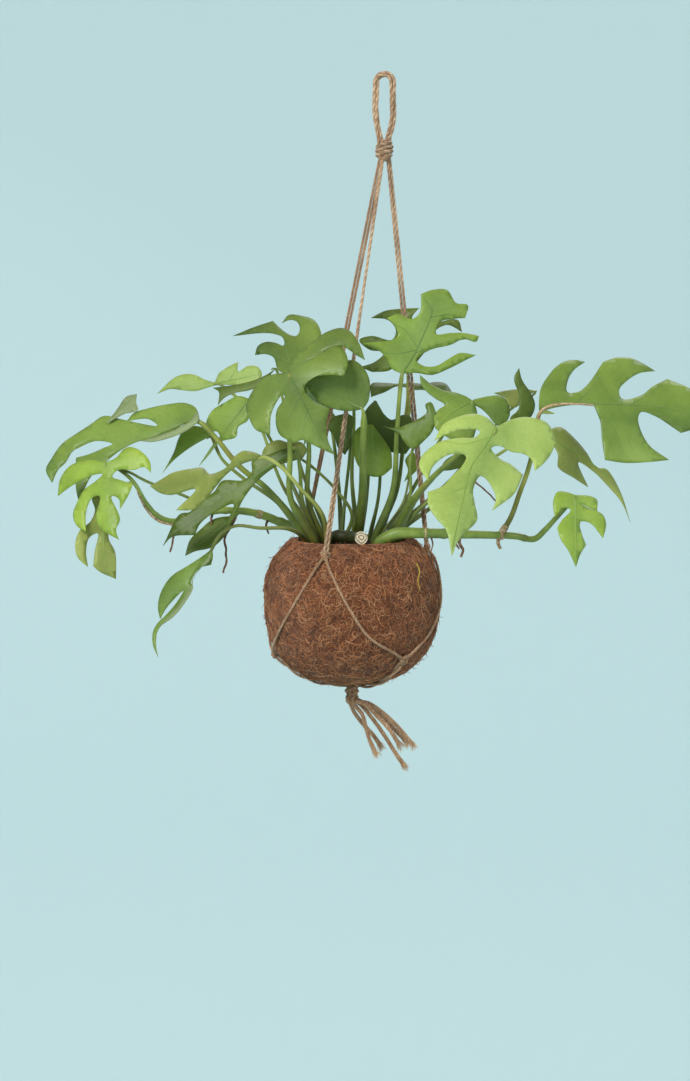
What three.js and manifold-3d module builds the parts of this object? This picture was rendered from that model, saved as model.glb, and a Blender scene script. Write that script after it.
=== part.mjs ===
import * as THREE from "three";
import { mergeVertices } from "three/addons/utils/BufferGeometryUtils.js";
import Module from "manifold-3d";

// A hanging house plant: a coir ball full of soil, a jute sling with a hanging loop and a
// tassel, and a mini monstera whose runners and split leaves grow out of the open top.
// Millimetres, +Z up, the front of the plant faces -Y.
// The origin is the inside of the hanging loop, at its top.

const wasm = await Module();
wasm.setup();

// Driving dimensions
const BALL_X = -27;              // the ball hangs a little left of the loop
const RIM_Z = -388.6;            // flat open top of the ball
const WALL = 8;                  // thickness of the felted coir
const CORD = 3.4;                // jute cord, where it hangs loose
const TIGHT_CORD = 2.6;          // the same cord where the weight pulls it thin
const PAIR = 5.2;                // two tight cords side by side
const GAP = 0.3;                 // clearance between neighbours that touch
const BLADE = 0.8;               // leaf thickness
const KNOT_Z = -60;              // middle of the knot under the hanging loop
const LOOP_HALF = 7.2;           // from the loop's axis to the middle of a leg
const LOOP_CORD = 6.4;           // the bundled cords of the loop
const SOIL_Z = RIM_Z - 3.5;      // top of the soil
const ROOT_DEPTH = 9;            // how far a stem stands in the soil

// Front drawing: leaves and stems are drawn as they look from the front, in drawing
// points. A point is 0.85 mm at the depth of the ball, seen from 2.4 m away.
const POINT = 0.85;
const VIEW_DISTANCE = 2400;
const VIEW_TILT = THREE.MathUtils.degToRad(5);
const VIEW_CENTRE = [345, 540.5];
const VIEW_TARGET = [-33, -389];

const LEAF_MID = "#4f7d33";
const LEAF_DARK = "#35561f";
const LEAF_LIME = "#8fbb4a";
const LEAF_OLIVE = "#7c8c4c";
const STEM_GREEN = "#5f8338";
const JUTE = "#a8743f";
const COIR = "#7d4a2e";
const EARTH = "#2c2019";

const part = new THREE.Group();

function add(name, geometry, colour, roughness = 0.6) {
  const material = new THREE.MeshStandardMaterial({ color: colour, roughness, metalness: 0 });
  const mesh = new THREE.Mesh(geometry, material);
  mesh.name = name;
  part.add(mesh);
  return mesh;
}

// Solids: a closed geometry becomes a solid that can be joined or cut. Points closer
// than weld become one, and a face that this closes up is dropped.
function solid(geometry, weld = 1e-4) {
  const bare = geometry.clone();
  bare.deleteAttribute("normal");
  bare.deleteAttribute("uv");
  const welded = mergeVertices(bare, weld);
  const faces = [];
  for (let i = 0; i < welded.index.count; i += 3) {
    const face = Array.from(welded.index.array.slice(i, i + 3));
    if (new Set(face).size === 3) faces.push(...face);
  }
  return new wasm.Manifold(new wasm.Mesh({
    numProp: 3,
    vertProperties: Float32Array.from(welded.attributes.position.array),
    triVerts: Uint32Array.from(faces),
  }));
}

function meshOf(body) {
  const mesh = body.getMesh();
  const geometry = new THREE.BufferGeometry();
  geometry.setAttribute("position", new THREE.BufferAttribute(mesh.vertProperties, 3));
  geometry.setIndex(new THREE.BufferAttribute(mesh.triVerts, 1));
  return geometry;
}

// A loose scrap that joining leaves is dropped, and a sealed hollow is filled
function largest(body) {
  return body.decompose().sort((a, b) => b.volume() - a.volume())[0];
}

// Where a join leaves separate corners closer than TOUCH, they draw back, in two passes
const TOUCH = 0.006;
const APART = [0.025, 0.04];

function drawnApart(body, distance) {
  const rough = meshOf(body);
  rough.computeVertexNormals();
  const { position, normal } = rough.attributes;
  const owner = new Map();
  const close = new Set();
  for (let i = 0; i < position.count; i++) {
    for (const shift of [0, 0.5]) {
      const cell = [shift, ...[0, 1, 2].map(
        (k) => Math.floor(position.getComponent(i, k) / TOUCH + shift))].join();
      if (owner.has(cell)) close.add(i).add(owner.get(cell));
      owner.set(cell, i);
    }
  }
  for (const i of close) {
    position.setXYZ(i, ...[0, 1, 2].map(
      (k) => position.getComponent(i, k) - distance * normal.getComponent(i, k)));
  }
  return new wasm.Manifold(new wasm.Mesh({
    numProp: 3, vertProperties: position.array, triVerts: rough.index.array }));
}

function geometryOf(body) {
  return meshOf(APART.reduce((b, distance) => largest(drawnApart(b, distance)), largest(body)));
}

// at: the place of a drawn point that lies at depth y
function at(px, py, y) {
  const cos = Math.cos(VIEW_TILT);
  const sin = Math.sin(VIEW_TILT);
  const eye = new THREE.Vector3(
    VIEW_TARGET[0], -VIEW_DISTANCE * cos, VIEW_TARGET[1] + VIEW_DISTANCE * sin);
  const right = (px - VIEW_CENTRE[0]) * POINT / VIEW_DISTANCE;
  const up = (VIEW_CENTRE[1] - py) * POINT / VIEW_DISTANCE;
  const ray = new THREE.Vector3(right, cos + up * sin, -sin + up * cos);
  return ray.multiplyScalar((y - eye.y) / ray.y).add(eye);
}

// stem: a round stalk through points, tapering from one radius to the other, with
// detail rings from each point to the next
function stem(points, startRadius, endRadius, detail = 1, sides = 6) {
  const path = new THREE.CatmullRomCurve3(points, false, "centripetal");
  const steps = (points.length - 1) * detail;
  const position = [];
  const index = [];
  const normal = new THREE.Vector3(0.31, 0.9, 0.3);
  for (let i = 0; i <= steps; i++) {
    const centre = path.getPoint(i / steps);
    const tangent = path.getTangent(i / steps);
    const radius = THREE.MathUtils.lerp(startRadius, endRadius, i / steps);
    normal.addScaledVector(tangent, -normal.dot(tangent)).normalize();
    const side = tangent.clone().cross(normal);
    for (let k = 0; k < sides; k++) {
      const angle = 2 * Math.PI * k / sides;
      const ring = centre.clone()
        .addScaledVector(normal, radius * Math.cos(angle))
        .addScaledVector(side, radius * Math.sin(angle));
      position.push(ring.x, ring.y, ring.z);
    }
  }
  for (let i = 0; i < steps; i++) {
    for (let k = 0; k < sides; k++) {
      const a = i * sides + k;
      const b = i * sides + (k + 1) % sides;
      index.push(a, b, b + sides, a, b + sides, a + sides);
    }
  }
  const last = steps * sides;
  for (let k = 1; k < sides - 1; k++) {
    index.push(0, k + 1, k, last, last + k, last + k + 1);
  }
  const geometry = new THREE.BufferGeometry();
  geometry.setAttribute("position", new THREE.Float32BufferAttribute(position, 3));
  geometry.setIndex(index);
  return solid(geometry);
}

// edgeOf: the smooth edge of a leaf through its drawn points. A point with a third value
// is a sharp tip or corner, and so is the first point, where the stalk arrives.
function edgeOf(drawn, step) {
  const edge = [];
  let run = [drawn[0]];
  for (const point of [...drawn.slice(1), drawn[0]]) {
    run.push(point);
    if (point[2] || point === drawn[0]) {
      const curve = new THREE.CatmullRomCurve3(
        run.map(([x, y]) => new THREE.Vector3(x, y, 0)), false, "centripetal");
      const count = Math.max(1, Math.round(curve.getLength() / step));
      curve.getSpacedPoints(count).slice(0, -1).forEach((p) => edge.push([p.x, p.y]));
      run = [point];
    }
  }
  return edge;
}

// splitBy: cuts a drawn polygon along the line axis = value and returns all its pieces
function splitBy(polygon, axis, value) {
  const other = 1 - axis;
  const ring = [];
  polygon.forEach((p, i) => {
    const q = polygon[(i + 1) % polygon.length];
    ring.push({ p });
    if ((p[axis] < value) !== (q[axis] < value)) {
      const t = (value - p[axis]) / (q[axis] - p[axis]);
      const cut = [value, value];
      cut[other] = p[other] + t * (q[other] - p[other]);
      ring.push({ p: cut, cut: true });
    }
  });
  const cuts = ring.filter((v) => v.cut).sort((a, b) => a.p[other] - b.p[other]);
  if (cuts.length === 0) return [polygon];
  cuts.forEach((v, i) => { v.mate = cuts[i ^ 1]; });
  ring.forEach((v, i) => { v.next = ring[(i + 1) % ring.length]; });
  const pieces = [];
  for (const first of ring.filter((v) => !v.cut)) {
    if (first.used) continue;
    const piece = [];
    let v = first;
    do {
      piece.push(v.p);
      v.used = true;
      if (v.cut) {
        v = v.mate;
        piece.push(v.p);
      }
      v = v.next;
    } while (v !== first);
    pieces.push(piece);
  }
  return pieces;
}

// blade: one sheet of a leaf. edge: its drawn outline, from the hub where the stalk
// arrives. depth: y of the hub. lean: change of depth per mm to the right and per mm up.
// fold: the two halves rise by this much per mm beside the midrib, which runs from the hub
// to tip. arch: the curve of the midrib, in mm of depth at 10 mm from the hub.
const CELL = 41.3;               // drawn size of the cells that let a blade bend
const EDGE_STEP = 12;            // drawn distance between the points of an edge

function depthOf({ edge, hub = edge[0], tip, depth, lean = [0, 0.4], fold = 0, arch = 0 }) {
  const ribX = tip[0] - hub[0];
  const ribY = tip[1] - hub[1];
  const length = Math.hypot(ribX, ribY);
  return (px, py) => {
    const x = (px - hub[0]) * POINT;
    const down = (py - hub[1]) * POINT;
    const along = (x * ribX + down * ribY) / length;
    const across = Math.abs(x * ribY - down * ribX) / length;
    const rise = fold * across * across / (across + 5);
    return depth + lean[0] * x - lean[1] * down + rise + arch * along * along / 100;
  };
}

function blade(shape) {
  const depthAt = depthOf(shape);
  let cells = [edgeOf(shape.edge, EDGE_STEP)];
  for (const axis of [0, 1]) {
    const values = cells.flat().map((p) => p[axis]);
    for (let v = Math.min(...values) + CELL * 0.6; v < Math.max(...values); v += CELL) {
      cells = cells.flatMap((cell) => splitBy(cell, axis, v));
    }
  }
  const points = [];
  const ids = new Map();
  const idOf = (p) => {
    const key = p.map((v) => Math.round(v * 1000)).join();
    if (!ids.has(key)) {
      ids.set(key, points.length);
      points.push(p);
    }
    return ids.get(key);
  };
  const faces = [];
  for (const cell of cells) {
    const contour = cell.map((p) => new THREE.Vector2(...p));
    for (const face of THREE.ShapeUtils.triangulateShape(contour, [])) {
      const corners = face.map((i) => idOf(cell[i]));
      if (new Set(corners).size === 3) faces.push(corners);
    }
  }
  const position = [];
  const onSheet = (px, py) => at(px, py, depthAt(px, py));
  const normals = points.map(([px, py]) => {
    const right = onSheet(px + 1, py).sub(onSheet(px - 1, py));
    const down = onSheet(px, py + 1).sub(onSheet(px, py - 1));
    return right.cross(down).normalize();
  });
  for (const side of [0.5, -0.5]) {
    points.forEach(([px, py], i) => {
      const p = onSheet(px, py).addScaledVector(normals[i], side * BLADE);
      position.push(p.x, p.y, p.z);
    });
  }
  const count = points.length;
  const corner = (i) => new THREE.Vector2(...points[i]);
  const clockwise = THREE.ShapeUtils.area(faces[0].map(corner)) < 0;
  const index = [];
  const walls = new Map();
  for (const face of faces) {
    const [a, b, c] = clockwise ? [face[0], face[2], face[1]] : face;
    index.push(a, b, c, a + count, c + count, b + count);
    for (const [p, q] of [[a, b], [b, c], [c, a]]) {
      if (!walls.delete(`${q},${p}`)) walls.set(`${p},${q}`, [p, q]);
    }
  }
  for (const [p, q] of walls.values()) {
    index.push(q, p, p + count, q, p + count, q + count);
  }
  const geometry = new THREE.BufferGeometry();
  geometry.setAttribute("position", new THREE.Float32BufferAttribute(position, 3));
  geometry.setIndex(index);
  return solid(geometry);
}

// Coir ball: a felted bowl with a flat open top
const OUTER = new THREE.SplineCurve([
  [53.5, 0], [67, -16], [73, -32.3], [74.4, -51], [73.3, -68], [68.8, -84],
  [63.5, -94.4], [52, -106.5], [41, -114], [22, -120], [0, -121.5],
].map(([r, z]) => new THREE.Vector2(r, z)));
const BALL_STEPS = 10;
const BALL_SIDES = 24;
const MIDDLE = -51;              // the widest level, below the rim
const OUTER_RADIUS = 74.4;
const RIM_INNER = 46;

function turned(profile, sides = BALL_SIDES) {
  const geometry = new THREE.LatheGeometry(profile.map(([r, z]) => new THREE.Vector2(r, z)), sides);
  return solid(geometry.rotateX(Math.PI / 2));
}

function inside(gap) {
  const scale = (OUTER_RADIUS - WALL - gap) / OUTER_RADIUS;
  return OUTER.getSpacedPoints(BALL_STEPS).map(
    (p) => [p.x < 0.01 ? 0 : p.x * scale, MIDDLE + (p.y - MIDDLE) * scale]);
}

function coirBowl() {
  const outer = OUTER.getSpacedPoints(BALL_STEPS).map((p) => [p.x < 0.01 ? 0 : p.x, p.y]);
  return turned([...outer.reverse(), [RIM_INNER, 0], ...inside(0)]).translate([BALL_X, 0, RIM_Z]);
}

function soilBody() {
  const wall = inside(GAP + 0.15);
  const top = SOIL_Z - RIM_Z;
  return turned([...wall.reverse(), [RIM_INNER - GAP, top], [0, top]]).translate([BALL_X, 0, RIM_Z]);
}

// onBall: a place on the ball, out mm off its surface. azimuth 0 faces the front and turns
// to the right, s runs from 0 at the rim to 1 at the lowest point.
function onBall(azimuth, s, out) {
  const p = OUTER.getPointAt(s);
  const along = OUTER.getTangentAt(s);
  const radius = p.x - out * along.y;
  const angle = THREE.MathUtils.degToRad(azimuth);
  return new THREE.Vector3(
    BALL_X + radius * Math.sin(angle), -radius * Math.cos(angle), RIM_Z + p.y + out * along.x);
}

// cord: a jute cord or a twisted pair of them, with a plain eight-sided section
function cord(points, diameter, steps) {
  const section = new THREE.Shape(Array.from({ length: 8 }, (_, k) => new THREE.Vector2(
    Math.cos(k * Math.PI / 4), Math.sin(k * Math.PI / 4)).multiplyScalar(diameter / 2)));
  const extrudePath = new THREE.CatmullRomCurve3(points, false, "centripetal");
  return solid(new THREE.ExtrudeGeometry(section, { extrudePath, steps, bevelEnabled: false }));
}

// barrel: a wrapped knot that stands upright. Its ends are flat.
function barrel(radius, height, [x, y, z]) {
  const h = height / 2;
  const r = radius * 0.85;
  return turned([[0, -h], [r, -h], [radius, -h * 0.55], [radius, h * 0.55], [r, h], [0, h]], 12)
    .translate([x, y, z]);
}

// tie: a small round knot where two cords cross
const TIE = 4.6;

function tie(centre) {
  return solid(new THREE.SphereGeometry(TIE, 8, 6)).translate(centre.toArray());
}

const SHOULDER_S = 0.075;        // the shoulder knots, just under the rim
const LOWER_S = 0.585;           // the lower knots, where the ball turns in
const SHOULDERS = { front: -20, right: 100, back: 220 };
const LOWERS = { right: 40, back: 160, left: 278 };
const PAIR_TUBE = PAIR * 0.8;    // a twisted pair is nearly round
const CORD_OUT = TIGHT_CORD / 2 + 1.3;
const BOTTOM_KNOT = [BALL_X, 0, RIM_Z - 128];
const BOTTOM_KNOT_SIZE = [6.6, 10.5];
const TOP_KNOT_SIZE = [8, 15];    // radius and height
const UPPER_RING = 3.5;          // the three pairs leave the top knot in a ring

// fromTie: the place where a cord leaves a round knot towards the next point of its route
function fromTie(centre, next) {
  return next.clone().sub(centre).setLength(TIE + GAP + 0.05).add(centre);
}

function knotAt(azimuth, s) {
  return onBall(azimuth, s, TIE + GAP + 0.1);
}

function sling() {
  const [topRadius, topHeight] = TOP_KNOT_SIZE;
  add("top_knot", geometryOf(barrel(topRadius, topHeight, [0, 0, KNOT_Z])), JUTE, 0.9);
  add("bottom_knot", geometryOf(barrel(...BOTTOM_KNOT_SIZE, BOTTOM_KNOT)), JUTE, 0.9);
  const underClear = barrel(BOTTOM_KNOT_SIZE[0] + GAP, BOTTOM_KNOT_SIZE[1] + 2 * GAP, BOTTOM_KNOT);

  for (const [side, azimuth] of Object.entries(SHOULDERS)) {
    const knot = knotAt(azimuth, SHOULDER_S);
    add(`shoulder_knot_${side}`, geometryOf(tie(knot)), JUTE, 0.9);
    const angle = THREE.MathUtils.degToRad(azimuth);
    const top = new THREE.Vector3(
      UPPER_RING * Math.sin(angle), -UPPER_RING * Math.cos(angle),
      KNOT_Z - topHeight / 2 - 3 * GAP);
    const foot = fromTie(knot, top);
    const pair = cord([top, top.clone().lerp(foot, 0.5), foot], PAIR_TUBE, 4);
    add(`upper_cords_${side}`, geometryOf(pair), JUTE, 0.9);
  }
  for (const [side, azimuth] of Object.entries(LOWERS)) {
    const knot = knotAt(azimuth, LOWER_S);
    add(`lower_knot_${side}`, geometryOf(tie(knot)), JUTE, 0.9);
    const out = PAIR_TUBE / 2 + 0.8;
    const near = onBall(azimuth, 0.68, out);
    const route = [fromTie(knot, near), near, onBall(azimuth, 0.78, out),
      onBall(azimuth, 0.88, out), new THREE.Vector3(...BOTTOM_KNOT)];
    const under = cord(route, PAIR_TUBE, 6).subtract(underClear);
    add(`under_cords_${side}`, geometryOf(under), JUTE, 0.9);
  }
  const strands = [
    ["front", "right", -20, [-2, 11], 40], ["front", "left", -20, [-40, -57], -82],
    ["right", "back", 100, [118, 131], 160], ["right", "right", 100, [80, 63], 40],
    ["back", "left", 220, [238, 251], 278], ["back", "back", 220, [200, 183], 160],
  ];
  for (const [from, to, high, mids, low] of strands) {
    const start = knotAt(high, SHOULDER_S);
    const end = knotAt(low, LOWER_S);
    const route = [onBall(high + (mids[0] - high) * 0.25, 0.14, CORD_OUT),
      onBall(mids[0], 0.32, CORD_OUT), onBall(mids[1], 0.46, CORD_OUT),
      onBall(low + (mids[1] - low) * 0.3, 0.55, CORD_OUT)];
    const ends = [fromTie(start, route[0]), fromTie(end, route[3])];
    const strand = cord([ends[0], ...route, ends[1]], TIGHT_CORD, 8);
    add(`net_cord_${from}_${to}`, geometryOf(strand), JUTE, 0.9);
  }
}

// Hanging loop: the bundled cords above the top knot, open in the middle
function hangingLoop() {
  const crown = LOOP_CORD / 2 - LOOP_HALF;
  const foot = KNOT_Z + TOP_KNOT_SIZE[1] / 2 + GAP;
  const arc = [150, 120, 90, 60, 30].map((degrees) => THREE.MathUtils.degToRad(degrees));
  const leg = [[3.5, foot], [3.6, foot + 2], [6.4, foot + 14], [LOOP_HALF, crown - 14],
    [LOOP_HALF, crown]];
  const route = [
    ...leg.map(([x, z]) => [-x, z]),
    ...arc.map((a) => [LOOP_HALF * Math.cos(a), crown + LOOP_HALF * Math.sin(a)]),
    ...leg.reverse(),
  ].map(([x, z]) => new THREE.Vector3(x, 0, z));
  add("hanging_loop", geometryOf(cord(route, LOOP_CORD, 24)), JUTE, 0.9);
}

// leaf: its blades and its stalk are one body. crown: where the stalk leaves the soil.
// via: the drawn points of the stalk with their depth, on the way to the first blade's hub.
const HOLE_SIDES = 5;
const stalkHoles = [];

function stalkRoute([x, y], via) {
  const root = [SOIL_Z - ROOT_DEPTH, SOIL_Z + 3].map((z) => new THREE.Vector3(x, y, z));
  return [...root, ...via.map((p) => at(...p))];
}

function rooted(crown, via, startRadius, endRadius) {
  const [x, y] = crown;
  const hole = solid(new THREE.CylinderGeometry(
    startRadius + 1.2, startRadius + 1.2, ROOT_DEPTH + 3, HOLE_SIDES).rotateX(Math.PI / 2));
  stalkHoles.push(hole.translate([x, y, SOIL_Z + 1.5 - ROOT_DEPTH / 2 - 0.5]));
  return stem(stalkRoute(crown, via), startRadius, endRadius);
}

const BEHIND = 0.43;             // a stalk runs on a little behind the middle of its blade

// hubPoints: the last two points of a stalk, just past the hub on the line to the tip
function hubPoints(shape) {
  const [hx, hy] = shape.hub ?? shape.edge[0];
  const depthAt = depthOf(shape);
  return [0.012, 0.08].map((t) => {
    const px = hx + (shape.tip[0] - hx) * t;
    const py = hy + (shape.tip[1] - hy) * t;
    return [px, py, depthAt(px, py) + BEHIND];
  });
}

function rib(points, radius) {
  return stem(points.map((p) => at(...p)), radius, radius * 0.7);
}

function leafBody({ blades, crown, via = [], radii = [2.2, 1.2] }) {
  let body = rooted(crown, [...via, ...hubPoints(blades[0])], ...radii);
  const [heart] = hubPoints(blades[0]);
  for (const shape of blades) {
    body = body.add(blade(shape));
    if (!shape.hub) body = body.add(rib([heart, ...hubPoints(shape)], radii[1]));
  }
  return body;
}

// Leaves at the front and in the middle
const frontLeft = {
  crown: [-58, -26], via: [[291, 500, -40], [290, 455, -52], [289, 410, -55]], radii: [3, 1.6],
  blades: [{
    depth: -62, lean: [-0.45, 0.55], tip: [335, 455], fold: 0.12, arch: -0.1,
    edge: [[288, 373], [275, 374], [262, 379], [252, 392], [246, 407], [250, 420],
      [256, 430], [270, 435, 1], [271, 415], [276, 402], [286, 390], [282, 398], [277, 410],
      [276, 424], [280, 435], [294, 443, 1], [303, 440], [315, 446], [335, 455, 1],
      [328, 440], [327, 420], [330, 409, 1], [311, 399], [304, 388], [315, 377], [330, 375],
      [344, 376, 1], [348, 360], [339, 345], [318, 355]],
  }, {
    depth: -62, lean: [-0.45, 0.7], tip: [365, 360],
    edge: [[288, 379], [291, 362], [300, 352], [312, 343], [325, 333], [341, 328],
      [350, 331], [359, 343], [365, 360, 1], [356, 355], [341, 346], [326, 352], [306, 366]],
  }],
};
const topLeft = {
  crown: [-52, -12], via: [[308, 500, -22], [309, 450, -38], [306, 400, -42]], radii: [2.6, 1.5],
  blades: [{
    depth: -44, lean: [-0.55, 0.75], tip: [233, 336],
    edge: [[302, 368], [288, 374], [278, 370], [274, 358], [266, 354], [255, 355, 1],
      [258, 346], [266, 342], [276, 343], [284, 346], [283, 338], [275, 334], [262, 333],
      [233, 336, 1], [252, 328], [273, 321, 1], [280, 328], [290, 335], [297, 336],
      [300, 328], [296, 321], [289, 320], [282, 323, 1], [289, 315], [302, 316], [314, 320],
      [321, 332], [320, 346], [312, 358]],
  }],
};
const centreBack = {
  crown: [-24, -6], via: [[362, 500, -22], [363, 450, -46]], radii: [4.5, 2.4],
  blades: [{
    depth: -57, lean: [0, 0.1], tip: [302, 380],
    edge: [[363, 409], [352, 411], [338, 410], [322, 404], [312, 394], [302, 380, 1],
      [318, 372], [335, 366], [352, 360], [362, 366], [369, 378], [370, 392], [368, 402]],
  }],
};
const brightCentre = {
  crown: [-12, 14], via: [[378, 500, 14], [380, 470, 15], [376, 445, 15]], radii: [1.6, 1.2],
  blades: [{
    depth: 12, lean: [0, 0.3], tip: [374, 478],
    edge: [[372, 424], [358, 428], [352, 440], [354, 455], [359, 467], [370, 476],
      [382, 476], [392, 468, 1], [391, 452], [384, 440]],
  }],
};
const darkCentre = {
  crown: [-20, 26], via: [[366, 500, 30], [370, 450, 34]], radii: [2, 1.4],
  blades: [{
    depth: 30, lean: [0, 0.3], tip: [406, 454],
    edge: [[375, 400], [366, 410], [362, 425], [364, 438], [370, 443], [380, 446],
      [391, 452], [406, 454, 1], [412, 444], [413, 428], [410, 416], [402, 415], [392, 420],
      [384, 414]],
  }],
};
const smallCentre = {
  crown: [0, -4], via: [[409, 500, -8], [411, 455, -14], [424, 428, -20]], radii: [1.6, 1],
  blades: [{
    depth: -22, lean: [0, 0.3], tip: [383, 426],
    edge: [[436, 412], [435, 424], [432, 432], [425, 440], [413, 449], [405, 443],
      [399, 434], [383, 426, 1], [396, 428], [408, 424], [420, 418], [427, 412],
      [425, 405], [431, 402]],
  }],
};
const rightMid = {
  crown: [2, 14], via: [[418, 480, 28], [440, 440, 14], [456, 415, 0]], radii: [2, 1.3],
  blades: [{
    depth: -10, lean: [0.3, 0.4], tip: [420, 375],
    edge: [[474, 402], [467, 397], [457, 393], [443, 390], [431, 384], [420, 375, 1],
      [421, 384], [427, 392], [436, 399], [445, 405], [438, 410], [434, 417], [435, 428, 1],
      [442, 434], [453, 440], [464, 441], [474, 437, 1], [477, 424], [477, 412]],
  }, {
    depth: -10, lean: [0.3, 0.4], tip: [509, 422],
    edge: [[471, 404], [473, 400], [480, 398], [490, 396], [501, 396], [508, 403],
      [510, 413], [507, 421], [500, 427, 1], [494, 423], [488, 415], [480, 408]],
  }],
};
const darkPointed = {
  crown: [8, 20], via: [[440, 500, 28], [480, 455, 36], [505, 432, 40]], radii: [2, 1.3],
  blades: [{
    depth: 40, lean: [0.5, 0.2], tip: [519, 368],
    edge: [[514, 426], [510, 418], [518, 410], [519, 396], [514, 378], [519, 368, 1],
      [522, 380], [530, 392], [535, 405], [530, 418]],
  }],
};
const frontRight = {
  crown: [8, -14], via: [[404, 515, -20], [418, 493, -38], [446, 465, -56], [476, 440, -63]], radii: [3, 1.8],
  blades: [{
    depth: -66, lean: [0.5, 0.5], tip: [452, 556], fold: 0.1, arch: -0.06,
    edge: [[496, 427], [490, 420], [481, 415], [470, 414], [455, 418], [443, 425],
      [434, 441, 1], [445, 435], [456, 431], [468, 429], [480, 431], [476, 437],
      [460, 438], [442, 441], [430, 448], [422, 456], [419, 466], [428, 481, 1],
      [432, 468], [441, 459], [452, 454], [466, 456], [462, 466], [452, 476],
      [443, 486], [428, 492, 1], [428, 505], [436, 518], [446, 530], [452, 556, 1],
      [456, 545], [463, 535], [477, 520], [475, 505], [473, 490], [480, 476],
      [486, 479], [496, 498], [492, 511, 1], [503, 503], [514, 494], [523, 475, 1],
      [510, 464], [500, 459], [491, 448], [500, 446], [512, 452], [524, 454], [532, 460],
      [535, 471, 1], [545, 462], [552, 452], [555, 441], [548, 424], [538, 419],
      [524, 417], [510, 420]],
  }],
};
const rightOlive = {
  crown: [8, 4], via: [[430, 500, -2], [490, 460, 8], [530, 436, 17]], radii: [1.8, 1.1],
  blades: [{
    depth: 20, lean: [0.65, 0.7], tip: [630, 522],
    edge: [[548, 430], [560, 427], [574, 438], [586, 452], [596, 467], [606, 469],
      [612, 476], [622, 496], [630, 522, 1], [622, 503], [606, 484], [594, 472],
      [578, 462], [588, 487, 1], [574, 478], [558, 467], [558, 455], [553, 444]],
  }],
};
const topRight = {
  crown: [-8, -12], via: [[393, 490, -16], [397, 430, -18]], radii: [3, 1.6],
  blades: [{
    depth: -20, lean: [0.4, 0.12], tip: [440, 290],
    edge: [[402, 374], [392, 369], [386, 358], [378, 350], [362, 343, 1], [375, 342],
      [392, 340], [398, 335], [394, 325], [387, 318, 1], [398, 314], [412, 319],
      [420, 312], [421, 294, 1], [432, 290], [447, 290], [456, 303], [468, 305],
      [465, 318, 1], [452, 319], [440, 322], [436, 334], [450, 333], [464, 333],
      [479, 336, 1], [476, 342], [464, 339], [450, 345], [430, 350], [416, 360],
      [424, 366], [436, 366], [450, 358], [460, 353], [476, 355, 1], [462, 362],
      [448, 369], [432, 375], [416, 373]],
  }],
};
const topRightBehind = {
  crown: [-6, 18], via: [[397, 490, 32], [404, 430, 46], [408, 395, 47]], radii: [2, 1.4],
  blades: [{
    depth: 44, lean: [-0.5, 0.3], tip: [373, 318],
    edge: [[408, 374], [398, 366], [388, 371], [372, 372, 1], [360, 367, 1], [375, 362],
      [385, 352], [370, 350], [359, 340], [372, 336], [392, 340], [396, 330],
      [388, 320], [371, 318, 1], [385, 311], [400, 309], [419, 308, 1], [412, 318],
      [420, 330], [440, 322], [458, 320], [462, 332, 1], [448, 325], [436, 330],
      [430, 345], [420, 358]],
  }],
};
const backRight = {
  crown: [-2, 30], via: [[398, 480, 50], [408, 420, 66]], radii: [1.8, 1.2],
  blades: [{
    depth: 64, lean: [0.3, 1.2], tip: [371, 388], hub: [412, 387],
    edge: [[413, 390], [398, 386], [385, 392], [371, 397, 1], [371, 384], [385, 383],
      [400, 384], [412, 383], [425, 384], [436, 382], [446, 384], [454, 396, 1],
      [440, 394], [425, 390]],
  }],
};
const greyBehind = {
  crown: [4, 24], via: [[450, 480, 44], [510, 410, 70], [532, 396, 79]], radii: [1.5, 1],
  blades: [{
    depth: 79, lean: [0.4, 0.9], tip: [494, 392],
    edge: [[537, 391], [524, 389], [510, 390], [494, 393, 1], [505, 398], [508, 406],
      [517, 407], [523, 398]],
  }],
};
const young = {
  crown: [-4, 6], via: [[404, 500, 16]], radii: [1.2, 0.9],
  blades: [{
    depth: 19, lean: [0, 0.2], tip: [404, 481],
    edge: [[412, 451], [405, 460], [408, 470], [404, 482, 1], [411, 476], [419, 467],
      [418, 458]],
  }],
};
const rightLow = {
  crown: [12, -2], via: [[415, 500, -4]], radii: [3, 2],
  blades: [{
    depth: -6, lean: [0, 0.3], tip: [472, 457],
    edge: [[440, 471], [444, 462], [452, 456], [462, 454], [472, 457, 1], [464, 466],
      [452, 470]],
  }],
};

// Leaves on the left
const farLeft = {
  crown: [-66, -4], via: [[269, 491, -16], [239, 466, -18], [215, 437, -17]], radii: [3.2, 1.8],
  blades: [{
    depth: -15, lean: [-0.5, 0.6], tip: [52, 483], fold: 0.1,
    edge: [[200, 421], [182, 425], [175, 430], [162, 434], [152, 440], [140, 441],
      [128, 446], [118, 452], [108, 460], [100, 467], [90, 478], [79, 503, 1], [76, 488],
      [76, 458, 1], [90, 454], [104, 448], [113, 444], [96, 441], [80, 447], [72, 452],
      [66, 462], [58, 470], [52, 483, 1], [46, 470], [52, 458], [62, 444], [76, 434],
      [90, 425], [104, 416], [120, 419], [133, 422], [158, 426], [148, 419], [127, 421, 1],
      [134, 413], [146, 409], [170, 404], [185, 403], [196, 408]],
  }, {
    depth: 24.1, lean: [-0.5, 0.7], tip: [137, 394], hub: [112, 418],
    edge: [[106, 424], [118, 408], [126, 397], [137, 394, 1], [136, 402], [138, 410],
      [124, 414]],
  }],
};
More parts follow.
